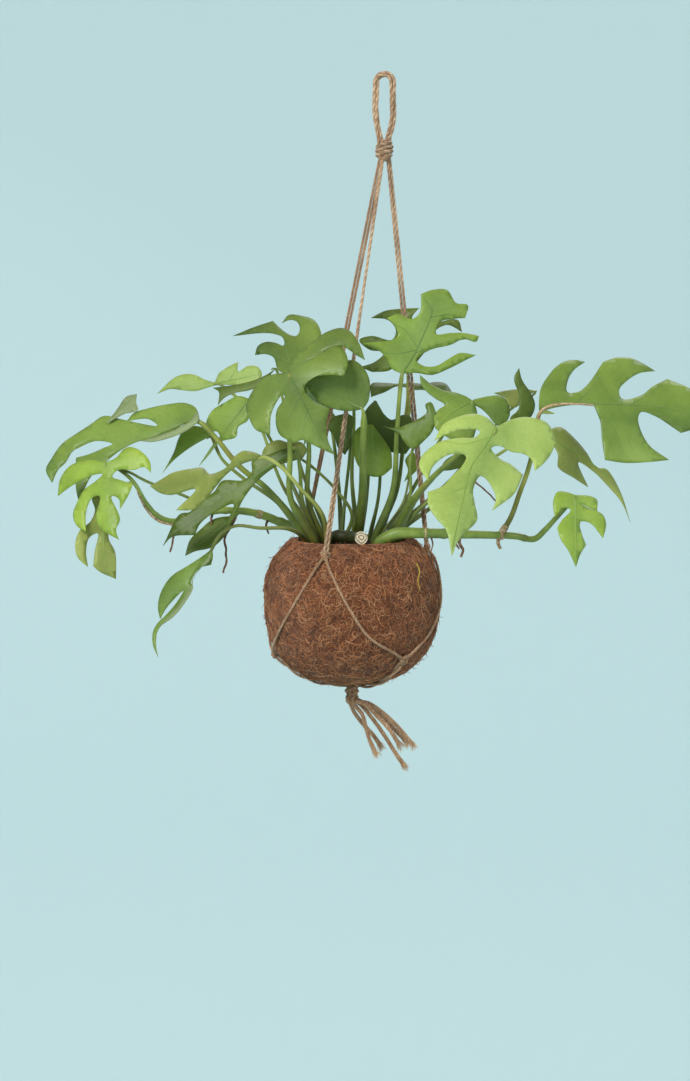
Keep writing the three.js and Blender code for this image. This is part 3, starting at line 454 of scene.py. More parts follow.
# %% Sling cords
TIE = 3.6 * MM
SHOULDER_S, LOWER_S = 0.075, 0.585
SHOULDERS = {"front": -20, "right": 100, "back": 220}
LOWERS = {"right": 40, "back": 160, "left": 278}
NET = [("front_right", -20, (-2, 11), 40), ("front_left", -20, (-40, -57), -82),
       ("right_back", 100, (118, 131), 160), ("right_right", 100, (80, 63), 40),
       ("back_left", 220, (238, 251), 278), ("back_back", 220, (200, 183), 160)]
UPPER_RING = 3.5 * MM
TIGHT_CORD = 2.6 * MM
SINGLE_OUT = TIGHT_CORD / 2 + 0.7 * MM


def knot_at(azimuth, s):
    """The middle of a knot that lies on the ball."""
    return on_ball(azimuth, s, TIE)


def upper_route(azimuth):
    """From the top knot straight down to a shoulder knot."""
    angle = math.radians(azimuth)
    top = Vector((UPPER_RING * math.sin(angle), -UPPER_RING * math.cos(angle),
                  KNOT_Z - TOP_KNOT[1] / 2 + 3 * MM))
    foot = knot_at(azimuth, SHOULDER_S)
    return [top, top.lerp(foot, 0.5), foot]


def net_route(high, mids, low):
    """Across the ball's side from a shoulder knot to a lower one, past two angles between."""
    return [knot_at(high, SHOULDER_S),
            on_ball(high + (mids[0] - high) * 0.25, 0.14, SINGLE_OUT + 1 * MM),
            on_ball(mids[0], 0.32, SINGLE_OUT), on_ball(mids[1], 0.46, SINGLE_OUT),
            on_ball(low + (mids[1] - low) * 0.3, 0.55, SINGLE_OUT + 1 * MM),
            knot_at(low, LOWER_S)]


def under_route(azimuth):
    """Under the ball from a lower knot to the bottom knot."""
    out = TIGHT_CORD / 2 + 0.9 * MM
    return [knot_at(azimuth, LOWER_S), on_ball(azimuth, 0.68, out), on_ball(azimuth, 0.78, out),
            on_ball(azimuth, 0.88, out), on_ball(azimuth, 0.95, out),
            BOTTOM_KNOT + Vector((0, 0, 4 * MM))]


UPPER_TURN, UNDER_TURN = 1300 * MM, 40 * MM
PHASE = {"front": (-0.8, 0), "right": (0.5, 0), "back": (0.9, 2)}
upper = [line for side, (start, number) in PHASE.items()
         for line in pair(upper_route(SHOULDERS[side]), TIGHT_CORD, UPPER_TURN, start,
                          number=number)]
sling = tubes("sling_upper", upper, JUTES)
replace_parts(sling, *("upper_cords_" + side for side in SHOULDERS))

lower = [line for _, high, mids, low in NET
         for line in plies(net_route(high, mids, low), TIGHT_CORD, start=high, number=2)]
lower += [line for azimuth in LOWERS.values()
          for line in pair(under_route(azimuth), TIGHT_CORD, UNDER_TURN, number=2)]
net = tubes("sling_net", lower, JUTES, sides=6)
tubes("sling_hairs", hairs(upper + lower, 0.14), [JUTE_PALE], sides=3)
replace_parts(net, *("net_cord_" + name for name, *_ in NET),
            *("under_cords_" + side for side in LOWERS))

# %% [markdown]
# A knot is the same cord, pulled tight around itself. An overhand knot closes into the curve
# that a trefoil draws, so a small trefoil of real cord stands where cords part or meet. The top
# and bottom knots gather all the cords: there a few turns wind around six straight ones.

# %% Knots
THROUGH_CORDS, THROUGH_RING = 6, 3.2 * MM


def trefoil(centre, size, tilt):
    """A tight overhand knot of one cord, size across its lobes."""
    turn = Euler(tilt).to_matrix()
    points = []
    for i in range(25):
        t = 2 * math.pi * i / 24
        point = Vector((math.sin(t) + 2 * math.sin(2 * t), math.cos(t) - 2 * math.cos(2 * t),
                        -1.3 * math.sin(3 * t)))
        points.append(centre + turn @ (point * size / 6))
    return plies(points, TIGHT_CORD, step=0.8 * MM, number=2)


def gathered(centre, radius, height, turns):
    """Turns of cord around the place where all the cords of the sling meet."""
    points = []
    count = round(turns * 10)
    for i in range(count + 1):
        t = i / count
        angle = 2 * math.pi * turns * t
        ring = radius - CORD * (0.5 + 0.35 * abs(2 * t - 1) ** 3)
        lean = 1.2 * MM * math.sin(angle + 0.6)
        points.append(centre + Vector((ring * math.sin(angle), -ring * math.cos(angle),
                                       (t - 0.5) * (height - CORD) + lean)))
    return plies(points, step=0.9 * MM)


def bundle(centre, half):
    """Straight cords side by side, as they pass through a gathered knot. half is in mm."""
    start, end = (centre + Vector((0, 0, rise)) * MM for rise in (half, -half))
    lines = []
    for k in range(THROUGH_CORDS):
        angle = 2 * math.pi * k / THROUGH_CORDS
        out = Vector((math.cos(angle), math.sin(angle), 0)) * THROUGH_RING
        lines += plies([start + out * 0.8, start.lerp(end, 0.5) + out * 1.1, end + out], start=k)
    return lines


top = Vector((0, 0, KNOT_Z))
knots = {"top_knot": gathered(top, *TOP_KNOT, 3.4)
         + trefoil(top + Vector((-1, -4, -3)) * MM, 9 * MM, (1.3, 0.2, 0.4))
         + bundle(top, 9),
         "bottom_knot": gathered(BOTTOM_KNOT, *BOTTOM_KNOT_SIZE, 1.6)
         + trefoil(BOTTOM_KNOT + Vector((1, -2, 0)) * MM, 8 * MM, (1.2, 0.5, 0.9))
         + bundle(BOTTOM_KNOT, 7)}
for side, azimuth in SHOULDERS.items():
    knots["shoulder_knot_" + side] = trefoil(
        knot_at(azimuth, SHOULDER_S), 7.2 * MM, (1.45, 0.3, math.radians(azimuth)))
for side, azimuth in LOWERS.items():
    knots["lower_knot_" + side] = trefoil(
        knot_at(azimuth, LOWER_S), 7.0 * MM, (1.7, -0.4, math.radians(azimuth)))
knots["bottom_knot"] = [(p, r, 2) for p, r, _ in knots["bottom_knot"]]
for name, lines in knots.items():
    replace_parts(tubes(name + "_turns", lines, JUTES, sides=6), name)

# %% Hanging loop
LOOP_HALF = 7.2 * MM
LOOP_BUNDLE = 6.4 * MM
LOOP_CORDS = 3
LOOP_CORD = 2.95 * MM
LOOP_TURN = 105 * MM


def loop_route():
    """Up one leg from the top knot, over the crown and down the other leg."""
    crown = LOOP_BUNDLE / 2 - LOOP_HALF
    foot = KNOT_Z + TOP_KNOT[1] / 2 - 4 * MM
    leg = [(3.2 * MM, foot), (3.6 * MM, foot + 6 * MM), (6.4 * MM, foot + 18 * MM),
           (LOOP_HALF, crown - 14 * MM), (LOOP_HALF, crown)]
    arc = [(LOOP_HALF * math.cos(a), crown + LOOP_HALF * math.sin(a))
           for a in (math.radians(d) for d in (150, 120, 90, 60, 30))]
    return [Vector((x, 0, z)) for x, z in [(-x, z) for x, z in leg] + arc + leg[::-1]]


def looped():
    """The loop's cords, which wind loosely and a little unevenly around each other."""
    run = rounded(loop_route(), 1 * MM)
    lines = []
    for k in range(LOOP_CORDS):
        points = []
        for along, centre, side, up in followed(run):
            loose = noise.noise(centre * 55 + Vector((7 * k, 0, 0)))
            angle = 2 * math.pi * (k / LOOP_CORDS + along / LOOP_TURN) + 0.5 * loose
            points.append(centre + (1.66 + 0.4 * loose) * MM * around(angle, side, up))
        lines += plies(points, LOOP_CORD, start=1.7 * k)
    return lines


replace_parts(tubes("loop_cords", looped(), JUTES, sides=6), "hanging_loop")

# %% [markdown]
# A leaf of the mini monstera is a firm, soft-glossed blade with deep cuts between its lobes.
# Its outline is drawn from a few points, with a sharp corner at each lobe's tip. The outline
# becomes one flat face, bisect_plane cuts that face into small cells, and each corner then
# moves to its own depth, so the blade folds at its midrib, arches, waves and bends back at
# its rim without losing the drawn edge. The flat coordinates stay behind as the UV map, which
# the finish reads.

# %% Drawn outlines
LEAF_CELL = 5.5
EDGE_DROOP, EDGE_REACH = 1.7, 5.0
EDGE_STEP = 3.0
BLADE = 0.5 * MM


def edge_of(drawn):
    """The smooth edge through drawn points. A third value marks a sharp tip or corner."""
    edge, run = [], [drawn[0]]
    for point in [*drawn[1:], drawn[0]]:
        run.append(point)
        if len(point) > 2 or point is drawn[0]:
            curve = rounded([Vector((p[0], p[1], 0)) for p in run], EDGE_STEP)
            edge += [(p.x, p.y) for p in curve[:-1]]
            run = [point]
    return edge


def gap_to(edges, px, py):
    """The distance from a drawn point to the nearest of a list of straight edges."""
    nearest = math.inf
    for x, y, dx, dy, square in edges:
        t = min(1, max(0, ((px - x) * dx + (py - y) * dy) / square))
        nearest = min(nearest, (px - x - t * dx) ** 2 + (py - y - t * dy) ** 2)
    return math.sqrt(nearest)


def relief_of(shape, seed):
    """The depth in mm of a drawn point of a blade, with its folds, waves and curled tips."""
    hub = shape.get("hub", shape["edge"][0])
    rib = Vector((shape["tip"][0] - hub[0], shape["tip"][1] - hub[1]))
    length = rib.length
    lean, fold, arch = shape.get("lean", (0, 0.4)), shape.get("fold", 0), shape.get("arch", 0)
    outline = edge_of(shape["edge"])
    edges = [(x, y, a - x, b - y, (a - x) ** 2 + (b - y) ** 2)
             for (x, y), (a, b) in zip(outline, outline[1:] + outline[:1])]

    def depth(px, py):
        x, down = (px - hub[0]) * POINT / MM, (py - hub[1]) * POINT / MM
        along = (x * rib.x + down * rib.y) / length
        across = abs(x * rib.y - down * rib.x) / length
        away = math.hypot(x, down)
        free = 1 - math.exp(-away / 14)
        crease = 1.3 * math.exp(-across / 5) * free
        swell = 2.6 * noise.noise(Vector((px / 46, py / 46, seed))) * free
        ripple = 1.0 * noise.noise(Vector((px / 24, py / 24, seed + 5))) * min(1, across / 18)
        inside = POINT / MM * gap_to(edges, px, py)
        droop = EDGE_DROOP * math.exp(-inside / EDGE_REACH) * free
        return (shape["depth"] + lean[0] * x - lean[1] * down + arch * along * along / 100
                + fold * across * across / (across + 5)
                + crease + swell + ripple + droop + 0.0012 * across * across)

    return depth, hub, rib


# %% One blade
def blade(made, shape, seed, uv_layer):
    """Adds one blade to a bmesh, with its flat drawing as UV: across and along, in points."""
    depth, hub, rib = relief_of(shape, seed)
    flat = bmesh.new()
    corners = [flat.verts.new((x, y, 0)) for x, y in edge_of(shape["edge"])]
    flat.faces.new(corners)
    unit, beside = rib.normalized(), Vector((-rib.y, rib.x)).normalized()
    for normal in (unit, beside):
        reach = [normal.dot(Vector(v.co.xy) - Vector(hub[:2])) for v in flat.verts]
        first = math.ceil(min(reach) / LEAF_CELL)
        for k in range(first, math.ceil(max(reach) / LEAF_CELL)):
            place = Vector(hub[:2]) + normal * (k * LEAF_CELL + 0.13)
            bmesh.ops.bisect_plane(flat, geom=[*flat.verts, *flat.edges, *flat.faces],
                                   dist=1e-3, plane_co=(*place, 0), plane_no=(*normal, 0))
    bmesh.ops.triangulate(flat, faces=flat.faces)
    moved = {}
    for v in flat.verts:
        offset = Vector(v.co.xy) - Vector(hub[:2])
        place = made.verts.new(at(v.co.x, v.co.y, depth(v.co.x, v.co.y) * MM))
        moved[v] = (place, (beside.dot(offset) / 100, unit.dot(offset) / 100))
    for face in flat.faces:
        order = list(face.verts) if face.normal.z < 0 else list(face.verts)[::-1]
        made_face = made.faces.new([moved[v][0] for v in order])
        for loop, v in zip(made_face.loops, order):
            loop[uv_layer].uv = moved[v][1]
    flat.free()
    return depth, hub, rib

# %% [markdown]
# The upper side of a leaf is a mid green with darker and lighter clouds, faint side veins and
# a soft gloss. The underside is paler and duller. Both finishes read the flat drawing: the
# first coordinate runs across the midrib and the second along it, so a pattern of lines that
# sweep towards the tip follows from their difference.

# %% Leaf finishes
VEIN_SPACING, VEIN_SWEEP, VEIN_WANDER = 0.055, 0.7, 0.16
MIDRIB_AND_SHADE_TINT = (0.80, 0.83, 0.82)


def reckoned(tree, operation, *values):
    """A Math node's result from numbers or other nodes' outputs."""
    made = node(tree, "Math", operation=operation)
    feed(tree, made.inputs, values)
    return made.outputs[0]


def leaf_finish(name, dark, mid, light, roughness, vein_tint, vein_depth):
    """Clouds of green with side veins that sweep to the tip, a darker midrib with painted shade
    beside it, and painted light further out.
    """
    material, tree, shader = finish_named(name, roughness, specular=0.30)
    clouds = ramp(tree, speckle(tree, 22, 2, distortion=0.4),
                  [(0.28, dark), (0.52, mid), (0.76, light)])
    grain = ramp(tree, speckle(tree, 420, 3),
                 [(0.35, (0.94, 0.95, 0.93)), (0.65, (1.05, 1.04, 1.03))])
    body = multiplied(tree, 1.0, clouds, grain)
    drawing = node(tree, "UVMap", uv_map="drawing")
    parts = node(tree, "SeparateXYZ")
    tree.links.new(drawing.outputs["UV"], parts.inputs["Vector"])
    across = reckoned(tree, "ABSOLUTE", parts.outputs["X"])
    swept = reckoned(tree, "MULTIPLY_ADD", across, -VEIN_SWEEP, parts.outputs["Y"])
    wandering = reckoned(tree, "MULTIPLY_ADD", speckle(tree, 30, 2), VEIN_WANDER, swept)
    comb = reckoned(tree, "PINGPONG", wandering, VEIN_SPACING)
    beside_vein = reckoned(tree, "MULTIPLY", comb, 1 / VEIN_SPACING)
    veins = ramp(tree, beside_vein, [(0.0, vein_tint), (0.10, (1, 1, 1))])
    lined = mixed(tree, 0.45, body, multiplied(tree, 1.0, body, veins))
    quilt = ramp(tree, beside_vein, [(0.0, (0, 0, 0)), (0.25, (0.5, 0.5, 0.5)), (1.0, (1, 1, 1))])
    # The midrib's own darker line, with painted shade within a centimetre of it, and painted light
    # from about 3 cm out towards the rim.
    middle = ramp(tree, across, [(0.0, MIDRIB_AND_SHADE_TINT), (0.10, (0.94, 0.95, 0.94)),
                                 (0.35, (1.14, 1.10, 1.05))])
    tree.links.new(multiplied(tree, 1.0, lined, middle), shader.inputs["Base Color"])
    raised(tree, shader, quilt, vein_depth, 0.7 * MM)
    return material


def stem_finish(name, dark, mid, light, blush, foot=False):
    """The green of a stem, with a reddish touch. foot paints shade on it: darker towards the soil.
    """
    material, tree, shader = finish_named(name, 0.42, specular=0.35)
    clouds = ramp(tree, speckle(tree, 60, 4), [(0.3, dark), (0.5, mid), (0.72, light)])
    touch = ramp(tree, speckle(tree, 24, 3, stretch=(1, 1, 0.35)),
                 [(0.52, (1, 1, 1)), (0.68, blush)])
    colour = mixed(tree, 0.8, clouds, multiplied(tree, 1.0, clouds, touch))
    # Painted shade: over the last 6 cm above the rim the colour darkens to under half, where the
    # plant's own shade falls on the stems.
    if foot:
        parts = node(tree, "SeparateXYZ")
        tree.links.new(node(tree, "TexCoord").outputs["Object"], parts.inputs["Vector"])
        level = node(tree, "MapRange")
        tree.links.new(parts.outputs["Z"], level.inputs["Value"])
        level.inputs["From Min"].default_value = RIM_Z
        level.inputs["From Max"].default_value = RIM_Z + 60 * MM
        shade = ramp(tree, level.outputs["Result"], [(0.0, (0.42, 0.44, 0.40)), (1.0, (1, 1, 1))])
        colour = multiplied(tree, 1.0, colour, shade)
    tree.links.new(colour, shader.inputs["Base Color"])
    raised(tree, shader, speckle(tree, 900, 4, stretch=(1, 1, 0.12)), 0.25, 0.3 * MM)
    return material


CLEAR_VEIN, SOFT_VEIN = ((0.62, 0.70, 0.58), 0.14), ((0.78, 0.84, 0.7), 0.12)
# 'deep' is the mid green made a quarter darker, and 'dark' darker still: both are the leaf's own
# dark green with painted shade in it.
UPPER = {tint: leaf_finish("leaf_" + tint, *row) for tint, row in {
    "mid": ((0.098, 0.158, 0.024), (0.145, 0.218, 0.035), (0.200, 0.284, 0.055), 0.43, *CLEAR_VEIN),
    "deep": ((0.068, 0.108, 0.016), (0.108, 0.162, 0.026), (0.155, 0.222, 0.044), 0.43,
             *CLEAR_VEIN),
    "fresh": ((0.122, 0.190, 0.024), (0.174, 0.258, 0.038), (0.228, 0.322, 0.060), 0.43,
              *CLEAR_VEIN),
    "dark": ((0.050, 0.078, 0.009), (0.082, 0.122, 0.014), (0.122, 0.170, 0.024), 0.48,
             *CLEAR_VEIN),
    "lime": ((0.158, 0.240, 0.026), (0.220, 0.316, 0.040), (0.290, 0.394, 0.066), 0.44, *SOFT_VEIN),
    "pale": ((0.236, 0.318, 0.072), (0.286, 0.376, 0.090), (0.336, 0.430, 0.118), 0.46, *SOFT_VEIN),
    "olive": ((0.172, 0.205, 0.040), (0.232, 0.270, 0.060), (0.295, 0.330, 0.090), 0.5,
              (0.85, 0.88, 0.8), 0.12)}.items()}
UNDER = {tint: leaf_finish("under_" + tint, *row) for tint, row in {
    "mid": ((0.165, 0.202, 0.085), (0.220, 0.262, 0.115), (0.280, 0.325, 0.160), 0.55,
            (0.85, 0.88, 0.82), 0.14),
    "lime": ((0.250, 0.345, 0.075), (0.310, 0.410, 0.100), (0.370, 0.470, 0.135), 0.55,
             (0.88, 0.9, 0.84), 0.14)}.items()}
VEIN = {
    "mid": stem_finish("vein_mid", (0.070, 0.130, 0.026), (0.100, 0.175, 0.036),
                       (0.135, 0.220, 0.050), (0.8, 0.75, 0.7)),
    "lime": stem_finish("vein_lime", (0.140, 0.225, 0.042), (0.185, 0.285, 0.052),
                        (0.235, 0.345, 0.070), (0.9, 0.85, 0.8))}
# Both stalk finishes carry painted shade near the soil (foot=True).
STALK = stem_finish("stalk", (0.105, 0.150, 0.022), (0.170, 0.220, 0.036),
                    (0.245, 0.300, 0.060), (1.0, 0.66, 0.52), foot=True)
STALK_YELLOW = stem_finish("stalk_yellow", (0.190, 0.220, 0.040), (0.280, 0.310, 0.065),
                           (0.360, 0.380, 0.100), (1.0, 0.75, 0.6), foot=True)
print(len(UPPER) + len(UNDER), "leaf finishes made")

# %% [markdown]
# Veins are real lines on both faces of a blade: a midrib, and one strong side vein that
# bends into each lobe. They are found from the drawing itself. Each sharp corner is a lobe's
# tip, and its vein leaves the midrib a little below it, as a feather's barb leaves the shaft.

# %% Veins
def holds(outline, p):
    """True if a drawn point lies inside an outline."""
    within = False
    for (x1, y1), (x2, y2) in zip(outline, outline[1:] + outline[:1]):
        if (y1 > p.y) != (y2 > p.y) and p.x < x1 + (p.y - y1) * (x2 - x1) / (y2 - y1):
            within = not within
    return within


def tapered(count, start, end):
    """Evenly changing values from start to end."""
    return [start + (end - start) * i / (count - 1) for i in range(count)]


def vein_lines(shape, depth, hub, rib, number=0):
    """Tapering tubes along the midrib and from it to each lobe's tip."""
    unit, length = rib.normalized(), rib.length
    heart = Vector(hub[:2])
    outline = edge_of(shape["edge"])

    def line(points, start, end):
        run = rounded([Vector((p.x, p.y, 0)) for p in points], 4)
        kept = [p for p in run if holds(outline, p)]
        if len(kept) < 0.9 * len(run):
            return None
        return ([at(p.x, p.y, depth(p.x, p.y) * MM) for p in kept],
                tapered(len(kept), start, end), number)

    if "rib" in shape:
        lines = [line([Vector(p) for p in shape["rib"]], 0.75 * MM, 0.35 * MM)]
        crest = [p.xy for p in rounded([Vector((*p, 0)) for p in shape["rib"]], 3)]
    else:
        lines = [line([heart, heart + rib * t * 0.5, heart + rib * t], 0.72 * MM, 0.35 * MM)
                 for t in (0.93, 0.75, 0.5)]
    lines = [found for found in lines if found][:1]
    for tip in (Vector(p[:2]) for p in shape["edge"] if len(p) > 2):
        offset = tip - heart
        along = unit.dot(offset)
        across = (offset - unit * along).length
        if across < 9 or along > length * 0.97:
            continue
        for sweep, bend in ((0.75, 0.06), (0.4, 0.1), (0.1, 0.0), (-0.3, -0.15)):
            root = heart + unit * max(0.02 * length, min(0.85 * length, along - sweep * across))
            if "rib" in shape:
                root = min(crest, key=lambda p: (p - root).length)
            middle = root.lerp(tip, 0.45) + unit * bend * across
            found = line([root, middle, root.lerp(tip, 0.86)], 0.46 * MM, 0.27 * MM)
            if found:
                lines.append(found)
                break
    return lines


# %% Stalks
SOIL_Z = RIM_Z - 3.5 * MM
ROOT_DEPTH = 9 * MM
BEHIND = 0.55
PAST_HUB = (0.012, 0.08)
STALK_END = 0.45 * MM
STALK_TAPER = 0.16


def planted(x, y):
    """The foot of a stem: a place in the soil and one straight above it. x and y are in mm."""
    return [Vector((x * MM, y * MM, z)) for z in (SOIL_Z - ROOT_DEPTH, SOIL_Z + 3 * MM)]


def past_hub(depth, hub, rib):
    """The end of a stalk: two places behind the blade, on the first part of its midrib."""
    return [at(p.x, p.y, (depth(p.x, p.y) + BEHIND) * MM)
            for p in (Vector(hub[:2]) + rib * t for t in PAST_HUB)]


def stalk_run(crown, via, shape, seed):
    """The stalk's line from the soil to just past the hub of its first blade."""
    points = planted(*crown) + drawn_line(via) + past_hub(*relief_of(shape, seed))
    return rounded(points, 2.5 * MM)


def thinned(run, radii):
    """Radii that run out to a fine end over the last centimetre, where a stalk meets a blade."""
    return [min(radius, STALK_END + STALK_TAPER * run_length(run[i:]))
            for i, radius in enumerate(radii)]


def stalk_radii(run, start, end):
    """Thick and sheathed at the foot, slim above, with a slight joint under the blade."""
    radii = []
    for i in range(len(run)):
        t = i / (len(run) - 1)
        sheath = 0.28 * start * math.exp(-((t - 0.12) / 0.16) ** 2)
        joint = 0.22 * end * math.exp(-((t - 0.90) / 0.035) ** 2)
        radii.append((start + (end - start) * t + sheath + joint) * MM)
    return thinned(run, radii)


# %% [markdown]
# A leaf is put together from its blades, its veins and its stalk, as two pieces: the blade
# with its two faces, and everything round. The blade gets its thickness from a Solidify
# modifier, whose material offset paints the far face with the paler finish of an underside.

# %% One leaf
YOUNG = ("lime", "pale")


def as_mesh(name, made):
    """Turns a finished bmesh into a mesh."""
    mesh = bpy.data.meshes.new(name)
    made.to_mesh(mesh)
    made.free()
    return mesh


def two_faced(name, made, tint):
    """A blade with its thickness and its far face. An olive blade shows its underside."""
    under = UNDER["lime" if tint in YOUNG else "mid"]
    sheet = placed(name, as_mesh(name, made),
                   [UPPER[tint], UPPER["mid"] if tint == "olive" else under])
    thick = sheet.modifiers.new("thickness", "SOLIDIFY")
    thick.thickness = BLADE
    thick.offset = 0
    thick.material_offset = 1
    thick.material_offset_rim = 0
    return sheet


def leaf(name, plan, tint, seed):
    """The blades of one leaf as a piece, and its veins and stalk as another."""
    made = bmesh.new()
    uv_layer = made.loops.layers.uv.new("drawing")
    lines, drawn = [], 0
    for k, shape in enumerate(plan["blades"]):
        depth, hub, rib = blade(made, shape, seed + 3 * k, uv_layer)
        lines += vein_lines(shape, depth, hub, rib)
        if shape.get("turned"):
            for face in list(made.faces)[drawn:]:
                face.material_index = 1
        drawn = len(made.faces)
    sheet = two_faced(name, made, tint)
    run = stalk_run(plan["crown"], plan["via"], plan["blades"][0], seed)
    lines.append((run, stalk_radii(run, *plan["radii"]), 1))
    for shape in plan["blades"][1:]:
        if "hub" not in shape and not shape.get("turned"):
            depth, hub, _ = relief_of(shape, seed + 3)
            branch = rounded([run[-2], at(*hub[:2], depth(*hub[:2]) * MM)], 2 * MM)
            lines.append((branch, [plan["radii"][1] * MM] * len(branch), 1))
    vein = VEIN["lime" if tint in YOUNG or tint == "olive" else "mid"]
    stalk = STALK_YELLOW if plan.get("pale_stalk") else STALK
    return sheet, tubes(name + "_stalk", lines, [vein, stalk], sides=8)


def grow(plans, seed):
    """Makes every leaf of a table. Each has a seed of its own for its folds."""
    for i, (name, (plan, tint)) in enumerate(plans.items()):
        sheet, round_parts = leaf("blade_" + name, plan, tint, seed + 10 * i)
        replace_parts(sheet, "leaf_" + name)

# %% [markdown]
# The two big leaves at the top left overlap each other in front of the cords. Between the stalks
# smaller leaves fill the middle: some bright and young, some dark green with painted shade.

# %% Leaves at the front and in the middle
middle_leaves = {
    "front_left": (dict(
      crown=(-58, -26), via=[(291, 500, -40), (290, 455, -52), (289, 410, -55)], radii=(3, 1.6),
      blades=[dict(
        depth=-62, lean=(-0.45, 0.55), tip=(335, 455),
        rib=[(288, 373), (295, 385), (306, 408), (320, 436), (332, 452)], fold=0.12, arch=-0.1,
        edge=[(288, 373), (275, 374), (262, 379), (252, 392), (246, 407), (250, 420),
          (256, 430), (270, 435, 1), (271, 415), (276, 403), (283, 394), (285, 397), (277, 410),
          (276, 424), (280, 435), (294, 443, 1), (303, 440), (315, 446), (335, 455, 1),
          (328, 440), (327, 420), (330, 409, 1), (311, 399), (304, 388), (315, 377), (330, 375),
          (344, 376, 1), (348, 360), (339, 345), (318, 355)],
      ), dict(
        depth=-62, lean=(-0.45, 0.7), tip=(365, 360),
        edge=[(288, 379), (291, 362), (300, 352), (312, 343), (325, 333), (341, 328),
          (350, 331), (359, 343), (365, 360, 1), (356, 355), (341, 346), (326, 352), (306, 366)],
      )]), "deep"),
    "top_left": (dict(
      crown=(-52, -12), via=[(308, 500, -22), (309, 450, -38), (306, 400, -42)], radii=(2.6, 1.5),
      blades=[dict(
        depth=-44, lean=(-0.55, 0.75), tip=(233, 336),
        edge=[(302, 368), (288, 374), (278, 370), (274, 358), (266, 354), (255, 355, 1),
          (258, 346), (266, 342), (276, 343), (284, 346), (283, 338), (275, 334), (262, 333),
          (233, 336, 1), (252, 328), (273, 321, 1), (280, 328), (290, 335), (297, 336),
          (300, 328), (296, 321), (289, 320), (282, 323, 1), (289, 315), (302, 316), (314, 320),
          (321, 332), (320, 346), (312, 358)],
      )]), "deep"),
    "centre_back": (dict(
      crown=(-24, -6), via=[(362, 500, -22), (363, 450, -46)], radii=(4.5, 2.4),
      blades=[dict(
        depth=-57, lean=(0, 0.1), tip=(302, 380),
        rib=[(363, 409), (345, 400), (325, 389), (305, 381)],
        edge=[(363, 409), (352, 411), (338, 410), (322, 404), (312, 394), (302, 380, 1),
          (318, 372), (335, 366), (352, 360), (362, 366), (369, 378), (370, 392), (368, 402)],
      )]), "deep"),
    "bright_centre": (dict(
      crown=(-12, 14), via=[(378, 500, 14), (380, 470, 15), (376, 445, 15)], radii=(1.6, 1.2),
      blades=[dict(
        depth=12, lean=(0, 0.3), tip=(374, 478),
        edge=[(372, 424), (358, 428), (352, 440), (354, 455), (359, 467), (370, 476),
          (382, 476), (392, 468, 1), (391, 452), (384, 440)],
      )]), "lime"),
    "dark_centre": (dict(
      crown=(-20, 26), via=[(366, 500, 30), (370, 450, 34)], radii=(2, 1.4),
      blades=[dict(
        depth=30, lean=(0, 0.3), tip=(406, 454),
        edge=[(375, 400), (366, 410), (362, 425), (364, 438), (370, 443), (380, 446),
          (391, 452), (406, 454, 1), (412, 444), (413, 428), (410, 416), (402, 415), (392, 420),
          (384, 414)],
      )]), "dark"),
    "small_centre": (dict(
      crown=(0, -4), via=[(409, 500, -8), (411, 455, -14), (424, 428, -20)], radii=(1.6, 1),
      blades=[dict(
        depth=-22, lean=(0, 0.3), tip=(383, 426),
        edge=[(436, 412), (435, 424), (432, 432), (425, 440), (413, 449), (405, 443),
          (399, 434), (383, 426, 1), (396, 428), (408, 424), (420, 418), (427, 412),
          (425, 405), (431, 402)],
      )]), "deep"),
    "curled": (dict(
      crown=(-34, -18), via=[(352, 515, -24), (337, 491, -26), (316, 470, -28)], radii=(1.6, 1.1),
      blades=[dict(
        depth=-24, lean=(0, 0.3), tip=(264, 456), hub=(301, 459),
        edge=[(303, 458), (307, 450), (301, 442), (290, 443), (278, 440), (266, 446),
          (262, 456), (270, 466), (286, 463)],
      )]), "olive"),
    "back_dark": (dict(
      crown=(-36, 4), via=[(345, 500, 8), (350, 450, 15), (350, 425, 14)], radii=(1.6, 1.2),
      blades=[dict(
        depth=10, lean=(0, 0.3), tip=(345, 455),
        edge=[(347, 413), (332, 418), (328, 428), (334, 436), (338, 448), (345, 455, 1),
          (350, 446), (352, 430), (354, 418)],
      )]), "dark"),
    "young": (dict(
      crown=(-4, 6), via=[(404, 500, 16)], radii=(1.2, 0.9),
      pale_stalk=True, blades=[dict(
        depth=19, lean=(0, 0.2), tip=(404, 481),
        edge=[(412, 451), (405, 460), (408, 470), (404, 482, 1), (411, 476), (419, 467),
          (418, 458)],
      )]), "lime"),
}
grow(middle_leaves, 100)

# %% [markdown]
# The bright leaf at the front right is the one that the eye goes to first: broad lobes, deep
# round bays and long tips. The highest leaf stands in front of the right cords and shows its
# whole face, and a darker one looks out behind it.

